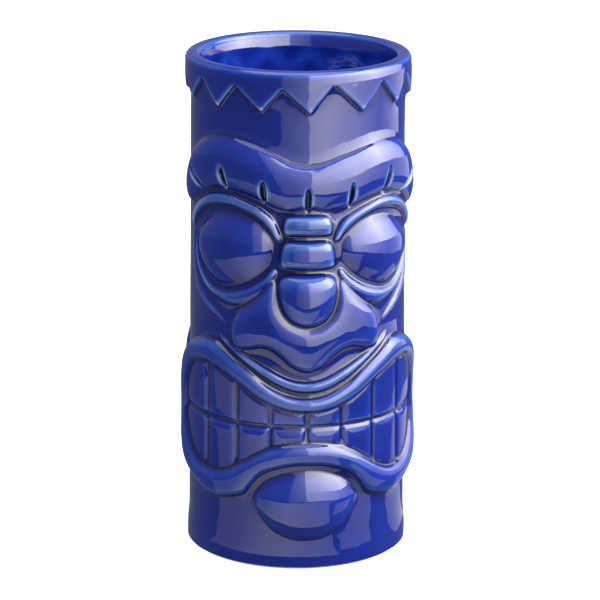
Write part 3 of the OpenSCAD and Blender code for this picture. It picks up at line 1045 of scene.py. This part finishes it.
def polar(piece: bpy.types.Object) -> tuple[np.ndarray, np.ndarray, np.ndarray]:
    """Reads where a piece's vertices are, about the mug's axis.

    Args:
        piece: the piece.

    Returns:
        Their degrees from the front, radii and heights in millimetres.
    """
    where = coords(piece) / MM
    angle = np.degrees(np.arctan2(where[:, 0], -where[:, 1]))
    return angle, np.hypot(where[:, 0], where[:, 1]), where[:, 2]


def drop_vertices(piece: bpy.types.Object, unwanted: np.ndarray) -> None:
    """Deletes the marked vertices and the faces on them.

    Args:
        piece: the piece.
        unwanted: which of its vertices go.
    """
    select_only(piece)
    piece.data.vertices.foreach_set("select", unwanted)
    piece.data.edges.foreach_set("select", np.zeros(len(piece.data.edges), bool))
    piece.data.polygons.foreach_set("select", np.zeros(len(piece.data.polygons), bool))
    bpy.ops.object.mode_set(mode="EDIT")
    bpy.ops.mesh.select_mode(type="VERT")
    bpy.ops.mesh.delete(type="VERT")
    bpy.ops.object.mode_set(mode="OBJECT")


def raise_copy(piece: bpy.types.Object) -> np.ndarray:
    """Extrudes a whole flat piece into a closed slab.

    Args:
        piece: an open flat patch.

    Returns:
        Which vertices belong to the slab's upper side.
    """
    select_only(piece)
    bpy.ops.object.mode_set(mode="EDIT")
    bpy.ops.mesh.select_mode(type="FACE")
    bpy.ops.mesh.select_all(action="SELECT")
    bpy.ops.mesh.extrude_region_move(TRANSFORM_OT_translate={"value": (0, 0, 1)})
    bpy.ops.object.mode_set(mode="OBJECT")
    upper = np.zeros(len(piece.data.vertices), bool)
    piece.data.vertices.foreach_get("select", upper)
    return upper


def face_outward(piece: bpy.types.Object, merge: float = 0.0) -> None:
    """Points all faces of a closed piece outwards.

    Args:
        piece: the piece.
        merge: how close its doubled vertices are, which are merged first.
    """
    select_only(piece)
    bpy.ops.object.mode_set(mode="EDIT")
    bpy.ops.mesh.select_all(action="SELECT")
    if merge:
        bpy.ops.mesh.remove_doubles(threshold=merge)
    bpy.ops.mesh.normals_make_consistent(inside=False)
    bpy.ops.object.mode_set(mode="OBJECT")


def set_normals(
    piece: bpy.types.Object, normal: np.ndarray, outer: np.ndarray, lined: bool = False
) -> None:
    """Shades the outside with the relief's normals and the other faces flat.

    Args:
        piece: the piece.
        normal: one normal per vertex.
        outer: which vertices lie on the outside.
        lined: whether the faces of the inside take the normals too, so that only those
            between outside and inside stay flat.
    """
    mesh = piece.data
    mesh.polygons.foreach_set("use_smooth", np.ones(len(mesh.polygons), bool))
    corner = np.empty(len(mesh.loops), np.int32)
    mesh.loops.foreach_get("vertex_index", corner)
    count = np.empty(len(mesh.polygons), np.int32)
    mesh.polygons.foreach_get("loop_total", count)
    owner = np.repeat(np.arange(len(count)), count)
    share = np.bincount(owner, weights=outer[corner]) / count
    smooth = (share >= 1) | (share <= 0) if lined else share >= 1
    flat = np.empty(len(mesh.polygons) * 3)
    mesh.polygons.foreach_get("normal", flat)
    flat = flat.reshape(-1, 3)
    mixed = np.where(smooth[owner][:, None], normal[corner], flat[owner])
    mesh.normals_split_custom_set(mixed.tolist())


def shade_smooth(piece: bpy.types.Object, limit: float) -> None:
    """Shades a piece smooth except over edges sharper than a limit in degrees."""
    select_only(piece)
    bpy.ops.object.shade_smooth_by_angle(angle=math.radians(limit))


def set_coat_and_highlight(piece: bpy.types.Object, pooled: np.ndarray) -> None:
    """Stores how thick the coat of glaze is over each vertex, and on the wall's inside the painted
    highlight lines.

    Args:
        piece: the piece.
        pooled: how deep the vertex lies in a hollow, or less than nothing on a ridge; on the wall's
            inside, less than nothing along the painted highlight lines.
    """
    layer = piece.data.attributes.new("glaze_pool", "FLOAT", "POINT")
    coat = EVEN_COAT + np.where(pooled < 0, BREAKS * pooled, POOLS * pooled)
    layer.data.foreach_set("value", np.clip(coat, 0, 1).astype(np.float32))


def finish_piece(piece: bpy.types.Object, material: bpy.types.Material, node: str) -> None:
    """Dresses a piece and puts it on the mug's body.

    Args:
        piece: the finished mesh.
        material: its finish.
        node: the CAD node that it stands for.
    """
    piece.name = piece.data.name = f"{node}_fired"
    piece.data.materials.clear()
    piece.data.materials.append(material)
    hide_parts(node)
    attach(piece, "root")


# ---------------------------------------------------------------- the face


@dataclass
class FaceBuilder:
    """Lays the sprigs of one face on the wall.

    Attributes:
        relief: the shared height map.
        glaze: the finish.
        side: which face.
        spacing: the size of a sprig's faces, in millimetres.
        skirt: how far the smeared edge of a sprig runs on over the wall.
        bedding: how deep a sprig's back lies under the wall's surface.
        overlap: how far a sprig's smeared edge runs on under a neighbour.
        tooth_skirt: how far the teeth run on under the lips.
        lift: how far a sprig's edge lies over the surface that it shares with the wall.
        lift_slope: how much further over it a place lies for each millimetre inside the edge.
        lift_reach: how far inside the edge that goes on.
    """

    relief: Relief
    glaze: bpy.types.Material
    side: Side
    spacing: float = 0.33
    skirt: float = 2.2
    bedding: float = 0.7
    overlap: float = 0.45
    tooth_skirt: float = 0.45
    lift: float = 0.01
    lift_slope: float = 0.006
    lift_reach: float = 4.0

    def build(self) -> None:
        """Lays every sprig of the face and both rows of teeth."""
        label = self.side.name.lower()
        for sprig in SPRIGS:
            hands = (("", 1),) if sprig.centred else (("left_", -1), ("right_", 1))
            for hand, sign in hands:
                loops = [loop * [sign, 1] for loop in sprig.loops()]
                self._lay(f"{label}_{hand}{sprig.name}", loops, self.skirt)
        mouth, bite = mouth_outline(), self.relief.teeth.bite
        for row, upper in (("upper_teeth", True), ("lower_teeth", False)):
            kept = mouth[(mouth[:, 1] > bite) == upper]
            start = int(np.argmax(np.abs(np.diff(kept[:, 0], append=kept[:1, 0]))))
            kept = np.roll(kept, -start - 1, 0)
            ends = np.array([[kept[-1, 0], bite], [kept[0, 0], bite]])
            self._lay(f"{label}_{row}", [np.concatenate([kept, ends])], self.tooth_skirt)

    def _lay(self, node: str, loops: list[np.ndarray], skirt: float) -> None:
        """Lays one sprig: a flat sheet is trimmed to its outline, raised and rolled on.

        Args:
            node: the CAD node that the sprig stands for, which is also its name.
            loops: the outline on the drawn face's unrolled wall.
            skirt: how far it runs past the outline.
        """
        face, relief = self.side.value, self.relief
        shaped = []
        for loop in loops:
            x, z = loop[:, 0], loop[:, 1]
            shaped.append(np.stack([x * face.width, face.settled(x / DEGREE, z)], 1))
        low = shaped[0].min(0) - skirt - self.spacing
        high = shaped[0].max(0) + skirt + self.spacing
        piece = flat_grid(node, tuple(low), tuple(high), self.spacing)
        where = coords(piece)
        depth = soft_distance(where[:, 0], where[:, 1], shaped)
        foremost = relief.read(relief.depth, where[:, 0] / DEGREE + face.turn, where[:, 1])
        yields = (skirt > self.tooth_skirt) & (depth < foremost - self.overlap) & (depth < 0)
        drop_vertices(piece, (depth + skirt < -0.5 * self.spacing) | yields)
        self._trim_edge(piece, shaped, skirt)
        upper = raise_copy(piece)
        flat = coords(piece)
        angle = flat[:, 0] / DEGREE + face.turn
        radius, normal, pooled = relief.surface(angle, flat[:, 1])
        depth = soft_distance(flat[:, 0], flat[:, 1], shaped) + skirt
        lift = self.lift + self.lift_slope * np.clip(depth, 0, self.lift_reach)
        radius = np.where(upper, radius + lift, relief.wall.radius(flat[:, 1]) - self.bedding)
        a = np.radians(angle)
        place(piece, np.stack([np.sin(a) * radius, -np.cos(a) * radius, flat[:, 1]], 1) * MM)
        face_outward(piece)
        set_normals(piece, normal, upper)
        set_coat_and_highlight(piece, pooled)
        finish_piece(piece, self.glaze, node)

    def _trim_edge(self, piece: bpy.types.Object, loops: list[np.ndarray], skirt: float) -> None:
        """Pulls the sheet's open edge onto the line where the skirt ends, in two goes.

        Args:
            piece: the flat sheet.
            loops: the sprig's outline.
            skirt: how far past it the sheet runs.
        """
        mesh = piece.data
        ends = np.empty(len(mesh.edges) * 2, np.int32)
        mesh.edges.foreach_get("vertices", ends)
        ends = np.sort(ends.reshape(-1, 2), 1)
        key = ends[:, 0].astype(np.int64) * len(mesh.vertices) + ends[:, 1]
        corner = np.empty(len(mesh.loops), np.int32)
        mesh.loops.foreach_get("edge_index", corner)
        open_edge = np.bincount(corner, minlength=len(key)) == 1
        rim = np.unique(ends[open_edge])
        where = coords(piece)
        step, least_slope = 0.05, 0.3
        near, furthest = 1.5 * self.spacing, 0.6 * self.spacing
        for _ in range(2):
            x, z = where[rim, 0], where[rim, 1]
            here = soft_distance(x, z, loops) + skirt
            right = soft_distance(x + step, z, loops) + skirt
            above = soft_distance(x, z + step, loops) + skirt
            gx, gz = (right - here) / step, (above - here) / step
            size = np.maximum(gx * gx + gz * gz, least_slope)
            move = np.clip(np.where(np.abs(here) < near, -here, 0.0), -furthest, furthest)
            where[rim, 0] += gx / size * move
            where[rim, 1] += gz / size * move
        place(piece, where)


# ---------------------------------------------------------------- wall, rim and foot


@dataclass
class BodyBuilder:
    """The slip-cast body: wall, floor, rim and foot. Sizes are in millimetres.

    Attributes:
        relief: the shared height map.
        glaze: the finish of everything but the foot.
        clay: the finish of the foot.
        spacing: the size of the wall's faces.
        inside_rows: rows of faces up the inside.
        wall_back: how far the bare wall lies under the glazed surface.
        covered_from: how far inside a form's edge, or outside if negative, the wall sinks.
        covered_sink: how far it sinks under the forms.
        wall_overlap: how far the wall runs up into the lip.
        inside_echo: share of the relief that the inside echoes.
        echo_fade: height over which that echo dies away under the lip.
        inside_highlight: how strongly the painted highlight lines along the echo's bends show.
        mouth_flare: how much the inside opens at the mouth.
        mouth_z: height from which it opens.
        round_in: rounding of the lip's inner edge.
        round_out: rounding of the lip's outer edge.
        round_steps: straight steps in each of those.
        corner_r: radius of the fillet between the inside and the floor.
        glaze_line: height at which the glaze ends over the foot.
        foot_roll: rounding of the foot's lower edge.
        foot_inset: how far the bare foot stays inside the glaze.
        foot_width: how far the foot reaches in under the floor.
        foot_bevel: bevel of its inner edge.
        band_spacing: the size of the band's faces.
        band_rows: rows of faces up the band.
        band_under: how far its lower edge runs on over the wall.
        band_lift: how far it lies over the surface that it shares with the wall.
        band_back: how deep its back lies under the wall's surface.
        lip_thin: how thin the glaze runs all over the lip.
        lip_outer: where the glaze breaks over the lip's outer edge: how far in from it, how
            wide and how thin.
        lip_inner: the same for the inner edge.
        lip_fade: how far over the band and under the top the lip's glaze runs thinner.
        floor_gap: how far the floor's upper side lies under the inside's fillet.
        floor_bevels: how wide the floor's lower and upper bevels are.
        ring_steps: faces round a plain ring.
        sharp: degrees past which an edge of a ring is shaded sharp.
        hair: a hair's breadth between two surfaces that would otherwise coincide.
    """

    relief: Relief
    glaze: bpy.types.Material
    clay: bpy.types.Material
    spacing: float = 0.75
    inside_rows: int = 90
    wall_back: float = 0.02
    covered_from: float = -1.1
    covered_sink: float = 0.35
    wall_overlap: float = 0.2
    inside_echo: float = 0.42
    echo_fade: float = 4.0
    inside_highlight: float = 0.26
    mouth_flare: float = 1.5
    mouth_z: float = 157.0
    round_in: float = 1.7
    round_out: float = 2.1
    round_steps: int = 12
    corner_r: float = 6.0
    glaze_line: float = 0.9
    foot_roll: float = 1.2
    foot_inset: float = 0.45
    foot_width: float = 3.0
    foot_bevel: float = 0.5
    band_spacing: float = 0.36
    band_rows: int = 34
    band_under: float = 1.0
    band_lift: float = 0.012
    band_back: float = 0.6
    lip_thin: float = 0.02
    lip_outer: tuple[float, float, float] = (0.5, 0.65, 0.20)
    lip_inner: tuple[float, float, float] = (0.4, 0.6, 0.27)
    lip_fade: tuple[float, float] = (1.2, 0.3)
    floor_gap: float = 0.05
    floor_bevels: tuple[float, float] = (1.2, 5.0)
    ring_steps: int = 256
    sharp: float = 40.0
    hair: float = 0.02

    def build(self) -> None:
        """Makes the five pieces of the body."""
        self._wall()
        self._band()
        self._lip()
        self._floor()
        self._foot()

    def _wall(self) -> None:
        """Makes the wall: relief outside, its soft echo inside, with painted highlight lines along the
        echo's bends.
        """
        wall = self.relief.wall
        columns, top = int(2 * math.pi * ROLL_R / self.spacing), wall.lip_z + self.wall_overlap
        outer_rows = int((wall.lip_z - self.glaze_line) / self.spacing)
        outer_z = np.linspace(self.glaze_line, top, outer_rows)
        inner_z = np.linspace(top, wall.floor_z, self.inside_rows)
        angle = np.arange(columns)[:, None] * 360.0 / columns
        z = np.concatenate([outer_z, inner_z])[None, :] + 0 * angle
        angle = angle + 0 * z
        radius = self.relief.surface(angle.ravel(), z.ravel())[0].reshape(z.shape) - self.wall_back
        covered = self.relief.read(self.relief.depth, angle, z) > self.covered_from
        radius = np.where(covered, wall.radius(z) - self.covered_sink, radius)
        is_outer = np.arange(z.shape[1]) < outer_rows
        radius = np.where(is_outer[None, :], radius, self._inside_r(angle, z))
        piece = ring_of_faces("wall_tube", angle, radius, z)
        angle, radius, z = polar(piece)
        outer = radius > wall.inside_r + wall.thinnest
        _, normal, pooled = self.relief.surface(angle, z)
        normal = np.where(outer[:, None], normal, self._inside_normals(angle, z))
        set_normals(piece, normal, outer, lined=True)
        # The inside takes pale painted highlight lines along its echo's bends in place of glaze pooling.
        painted_highlight = self.inside_highlight * self.relief.read(self.relief.inside_painted_highlight, angle, z)
        set_coat_and_highlight(piece, np.where(outer, pooled, painted_highlight))
        finish_piece(piece, self.glaze, "wall_tube")

    def _mouth_r(self, z: np.ndarray) -> np.ndarray:
        """Gives the inner radius without the relief's echo.

        Args:
            z: heights in millimetres.

        Returns:
            The radius at each height: straight, then opening to the rim.
        """
        wall = self.relief.wall
        up = np.clip((np.asarray(z) - self.mouth_z) / (wall.height - self.round_in - self.mouth_z), 0, 1)
        return wall.inside_r - self.mouth_flare * (1 - up * up)

    def _inside_r(self, angle: np.ndarray, z: np.ndarray) -> np.ndarray:
        """Gives the inner radius: the relief's soft echo, and a fillet over the floor.

        Args:
            angle: degrees from the front.
            z: heights in millimetres.

        Returns:
            The radius at each place.
        """
        wall, corner = self.relief.wall, self.corner_r
        echo = self.inside_echo * self.relief.read(self.relief.inner, angle, z)
        echo = echo * (1 - eased(z, (wall.lip_z - self.echo_fade, wall.lip_z)))
        drop = np.clip((wall.floor_z + corner - z) / corner, 0, 1)
        fillet = (1 - self.hair) * corner * (1 - np.sqrt(1 - drop * drop))
        return self._mouth_r(z) + echo * (1 - drop) - fillet

    def _inside_normals(self, angle: np.ndarray, z: np.ndarray) -> np.ndarray:
        """Works out the inside's normals from the inner radius.

        Args:
            angle: degrees from the front.
            z: heights in millimetres.

        Returns:
            Normals towards the axis, one per row.
        """
        step, mean_r = 0.4, 32.0
        side = step / DEGREE
        turn = (self._inside_r(angle + side, z) - self._inside_r(angle - side, z)) / (2 * step)
        lean = (self._inside_r(angle, z + step) - self._inside_r(angle, z - step)) / (2 * step)
        a = np.radians(angle)
        normal = -np.stack([np.sin(a), -np.cos(a), np.zeros_like(a)], 1)
        along = np.stack([np.cos(a), np.sin(a), np.zeros_like(a)], 1)
        normal += (turn * ROLL_R / mean_r)[:, None] * along
        normal[:, 2] += lean
        return normal / np.linalg.norm(normal, axis=1)[:, None]

    def _band(self) -> None:
        """Makes the zigzag band, cut to its own lower edge."""
        wall, rows = self.relief.wall, self.band_rows
        columns = int(2 * math.pi * ROLL_R / self.band_spacing)
        line = zigzag_line()
        angle = np.arange(columns)[:, None] * 360.0 / columns
        low = np.interp((angle + 180) % 360 - 180, line[:, 0], line[:, 1]) - self.band_under
        share = np.concatenate([np.linspace(0, 1, rows), [1.0, 0.0]])[None, :]
        z = low + (wall.lip_z - low) * share
        angle = angle + 0 * z
        outside = np.arange(rows + 2) < rows
        radius = self.relief.surface(angle.ravel(), z.ravel())[0].reshape(z.shape)
        radius = np.where(outside[None, :], radius + self.band_lift, wall.radius(z) - self.band_back)
        piece = ring_of_faces("rim_band", angle, radius, z)
        angle, radius, z = polar(piece)
        outer = radius > wall.radius(z) - 0.5 * self.band_back
        _, normal, pooled = self.relief.surface(angle, z)
        set_normals(piece, normal, outer)
        set_coat_and_highlight(piece, pooled)
        finish_piece(piece, self.glaze, "rim_band")

    def _lip(self) -> None:
        """Makes the rounded lip, over whose two edges the glaze breaks thin."""
        wall, outer, inner = self.relief.wall, self.round_out, self.round_in
        inner_r = wall.inside_r
        quarter = np.linspace(0, math.pi / 2, self.round_steps + 1)
        profile = [(wall.rim_r, wall.lip_z)]
        for t in quarter:
            r, up = wall.rim_r - outer + outer * math.cos(t), wall.height - outer + outer * math.sin(t)
            profile.append((r, up))
        for t in quarter:
            r, up = inner_r + inner - inner * math.sin(t), wall.height - inner + inner * math.cos(t)
            profile.append((r, up))
        for z in np.linspace(wall.height - inner, wall.lip_z, 6)[1:]:
            profile.append((float(self._mouth_r(z)) - 0.5 * self.hair, z))
        piece = revolved("rim_lip", profile, self.ring_steps)
        shade_smooth(piece, self.sharp)
        _, spread, z = polar(piece)
        (out_in, out_width, out_thin), (in_out, in_width, in_thin) = self.lip_outer, self.lip_inner
        outer_edge = np.exp(-(((spread - wall.rim_r + out_in) / out_width) ** 2))
        inner_edge = np.exp(-(((spread - inner_r - in_out) / in_width) ** 2))
        up = eased(z, (wall.lip_z + self.lip_fade[0], wall.height - self.lip_fade[1]))
        set_coat_and_highlight(piece, -up * (self.lip_thin + out_thin * outer_edge + in_thin * inner_edge))
        finish_piece(piece, self.glaze, "rim_lip")

    def _floor(self) -> None:
        """Makes the floor, glazed above and below."""
        wall, (low_bevel, high_bevel) = self.relief.wall, self.floor_bevels
        top, pooled = wall.floor_z - self.floor_gap, 0.15
        profile = [
            (self.hair, wall.ring_h), (wall.inside_r - low_bevel, wall.ring_h),
            (wall.inside_r, wall.ring_h + 0.4), (wall.inside_r, wall.floor_z - 2 * self.floor_gap),
            (wall.inside_r - high_bevel, top), (self.hair, top),
        ]
        piece = revolved("floor_disc", profile, self.ring_steps // 2)
        shade_smooth(piece, self.sharp)
        set_coat_and_highlight(piece, np.full(len(piece.data.vertices), pooled))
        finish_piece(piece, self.glaze, "floor_disc")

    def _foot(self) -> None:
        """Makes the bare clay ring with its rounded edge."""
        wall, roll, bevel = self.relief.wall, self.foot_roll, self.foot_bevel
        inner_r, outer_r = wall.inside_r - self.foot_width, wall.foot_r - self.foot_inset
        profile = [(inner_r + bevel, 0.0)]
        for t in np.linspace(0, math.pi / 2, 9):
            profile.append((outer_r - roll + roll * math.sin(t), roll - roll * math.cos(t)))
        profile += [(outer_r, wall.ring_h), (inner_r, wall.ring_h), (inner_r, bevel)]
        piece = revolved("foot_ring", profile, self.ring_steps)
        shade_smooth(piece, self.sharp)
        finish_piece(piece, self.clay, "foot_ring")


# ---------------------------------------------------------------- studio


@dataclass(frozen=True)
class Card:
    """A curved lit card round the mug, in metres and degrees from the front.

    Attributes:
        name: the card's name.
        low: radius and height of its lower or nearer edge.
        high: radius and height of its upper or further edge.
        low_turn: where the lower edge starts and ends.
        high_turn: where the upper edge starts and ends.
        glow: radiance at even steps along it.
        rise: what that is multiplied by at even steps from its lower to its upper edge.
        tint: the colour of its light.
        columns: faces along it.
        rows: faces from its lower to its upper edge.
    """

    name: str
    low: tuple[float, float]
    high: tuple[float, float]
    low_turn: tuple[float, float]
    high_turn: tuple[float, float]
    glow: tuple[float, ...]
    rise: tuple[float, ...] = (1.0, 1.0)
    tint: tuple[float, float, float] = (1.0, 0.97, 0.93)
    columns: int = 48
    rows: int = 12

    def hang(self) -> None:
        """Stands the card where only the glaze's gloss sees it."""
        piece = new_grid(self.name, self.columns, self.rows)
        where = coords(piece)
        along, up = where[:, 0] + 0.5, where[:, 1] + 0.5
        first = self.low_turn[0] + (self.high_turn[0] - self.low_turn[0]) * up
        last = self.low_turn[1] + (self.high_turn[1] - self.low_turn[1]) * up
        a = np.radians(first + along * (last - first))
        r = self.low[0] + (self.high[0] - self.low[0]) * up
        z = self.low[1] + (self.high[1] - self.low[1]) * up
        place(piece, np.stack([np.sin(a) * r, -np.cos(a) * r, z], 1))
        glow = np.interp(along, np.linspace(0, 1, len(self.glow)), self.glow)
        glow = glow * np.interp(up, np.linspace(0, 1, len(self.rise)), self.rise)
        layer = piece.data.attributes.new("glow", "FLOAT", "POINT")
        layer.data.foreach_set("value", glow.astype(np.float32))
        made = bpy.data.materials.new(self.name)
        made.use_nodes = True
        tree = made.node_tree
        shader = tree.nodes["Principled BSDF"]
        shader.inputs["Base Color"].default_value = (0.0, 0.0, 0.0, 1.0)
        shader.inputs["Specular IOR Level"].default_value = 0.0
        shader.inputs["Emission Color"].default_value = (*self.tint, 1.0)
        lit = tree.nodes.new("ShaderNodeAttribute")
        lit.attribute_name = "glow"
        tree.links.new(lit.outputs["Fac"], shader.inputs["Emission Strength"])
        piece.data.materials.append(made)
        piece.visible_camera = piece.visible_diffuse = piece.visible_shadow = False
        piece.visible_transmission = piece.visible_volume_scatter = False


CARDS = (
    Card("dark_table_card", (0.0375, 0.0002), (4.0, 0.0002), (0, 360), (0, 360), (0.2, 0.2),
         tint=(0.9, 0.95, 1.0)),
    Card("near_table_card", (0.049, 0.0008), (0.25, 0.0008), (-70, 24), (-96, 37),
         (0.6, 0.8, 1.6, 2.0, 1.7, 1.3)),
    Card("right_table_card", (0.06, 0.0008), (0.115, 0.0008), (28, 54), (40, 76), (1.1, 1.2)),
    Card("far_table_card", (0.047, 0.0008), (0.2, 0.0008), (78, 110), (106, 150), (0.9, 0.9)),
    Card("low_softbox_card", (0.32, 0.002), (0.32, 0.11), (5, 125), (5, 125),
         (3.9, 4.3, 3.4, 2.3, 1.1, 1.5, 1.8), (1, 1.3)),
    Card("softbox_card", (0.32, 0.11), (0.36, 0.62), (5, 118), (7, 118),
         (7.5, 10, 13, 17, 9, 3), (0.7, 1, 1, 1)),
    Card("softbox_flap_card", (0.325, 0.002), (0.365, 0.62), (-21, 5), (-21, 7),
         (0.7, 1.1, 1.7), (1, 1.7, 1.9)),
    Card("top_card", (0.0, 0.9), (0.45, 0.9), (0, 360), (0, 360), (3.0, 3.0)),
)


@dataclass(frozen=True)
class Lamp:
    """A square softbox whose light falls on the mug but whose face the gloss doesn't show.

    Attributes:
        name: its name.
        width: its width in metres.
        where: its middle.
        aim: the point that it faces.
        radiance: how bright its face is.
    """

    name: str
    width: float
    where: tuple[float, float, float]
    aim: tuple[float, float, float]
    radiance: float

    def hang(self) -> None:
        """Hangs the lamp."""
        lamp = bpy.data.lights.new(self.name, "AREA")
        lamp.shape = "SQUARE"
        lamp.size = self.width
        lamp.energy = self.radiance * math.pi * self.width * self.width
        hung = bpy.data.objects.new(self.name, lamp)
        bpy.context.scene.collection.objects.link(hung)
        hung.location = self.where
        sight = Vector(self.aim) - Vector(self.where)
        hung.rotation_euler = sight.to_track_quat("-Z", "Y").to_euler()
        hung.visible_glossy = False


LAMPS = (
    Lamp("right_softbox", 0.9, (0.66, -0.22, 0.46), (0, 0, 0.08), 4.6),
    Lamp("left_fill", 1.2, (-0.75, -0.7, 0.6), (0, 0, 0.08), 1.1),
    Lamp("top_softbox", 1.6, (0.25, 0.1, 1.4), (0, 0, 0.0), 1.5),
)


@dataclass
class Studio:
    """A pale floor, soft lights and the camera.

    Attributes:
        target_z: height that the camera looks at, in millimetres.
        distance: how far it stands from that point, in millimetres.
        azimuth: degrees to the right of the front, left if negative.
        elevation: degrees above the level.
        lens: its focal length in millimetres.
        sensor: its sensor's width in millimetres.
        roll: how far it leans, in radians.
        shift: how far its picture is shifted.
        floor_size: the floor's width in metres.
        floor_tone: the floor's own paleness.
        floor_glow: the even light on the floor.
        room: the even light of the room.
    """

    target_z: float = 83.15
    distance: float = 1052.6
    azimuth: float = -5.2
    elevation: float = 15.79
    lens: float = 186.7
    sensor: float = 36.0
    roll: float = 0.0053
    shift: float = 0.00485
    floor_size: float = 12.0
    floor_tone: float = 0.9
    floor_glow: float = 0.75
    room: float = 0.3

    def build(self) -> None:
        """Sets the stage, the lights and the camera."""
        self._floor()
        self._lights()
        self._camera()

    def _floor(self) -> None:
        """Lays the pale matt floor, which lights and colours nothing else."""
        bpy.ops.object.select_all(action="DESELECT")
        bpy.ops.mesh.primitive_plane_add(size=self.floor_size, location=(0, 0, 0))
        floor = bpy.context.active_object
        floor.name = floor.data.name = "studio_floor"
        made = bpy.data.materials.new("pale_floor")
        made.use_nodes = True
        shader = made.node_tree.nodes["Principled BSDF"]
        shader.inputs["Base Color"].default_value = (*[self.floor_tone] * 3, 1.0)
        shader.inputs["Roughness"].default_value = 0.9
        shader.inputs["Specular IOR Level"].default_value = 0.0
        shader.inputs["Emission Color"].default_value = (1.0, 1.0, 1.0, 1.0)
        shader.inputs["Emission Strength"].default_value = self.floor_glow
        floor.data.materials.append(made)
        floor.visible_diffuse = floor.visible_glossy = False

    def _lights(self) -> None:
        """Fills the room with even light, then hangs the lamps and the cards."""
        world = bpy.data.worlds.new("studio")
        bpy.context.scene.world = world
        world.use_nodes = True
        air = world.node_tree.nodes["Background"]
        air.inputs["Color"].default_value = (1.0, 1.0, 1.0, 1.0)
        air.inputs["Strength"].default_value = self.room
        for light in LAMPS + CARDS:
            light.hang()

    def _camera(self) -> None:
        """Stands the camera in front of the mug."""
        a, e = math.radians(self.azimuth), math.radians(self.elevation)
        back = Vector((math.sin(a) * math.cos(e), -math.cos(a) * math.cos(e), math.sin(e)))
        camera = bpy.data.cameras.new("camera")
        camera.lens = self.lens
        camera.sensor_width = self.sensor
        camera.shift_x = self.shift
        camera.clip_end = 50.0
        seat = bpy.data.objects.new("camera", camera)
        bpy.context.scene.collection.objects.link(seat)
        turn = back.to_track_quat("Z", "Y").to_matrix().to_4x4() @ Matrix.Rotation(self.roll, 4, "Z")
        stand = Vector((0, 0, self.target_z * MM)) + back * self.distance * MM
        seat.matrix_world = Matrix.Translation(stand) @ turn
        bpy.context.scene.camera = seat
        bpy.context.scene.view_settings.view_transform = "Standard"


def main() -> None:
    """Builds the mug and its studio."""
    logging.basicConfig(level=logging.INFO, format="%(message)s")
    relief = Relief(Wall())
    glaze, clay = CobaltGlaze().material(), BareClay().material()
    BodyBuilder(relief, glaze, clay).build()
    for side in Side:
        FaceBuilder(relief, glaze, side).build()
    Studio().build()


if __name__ == "__main__":
    main()
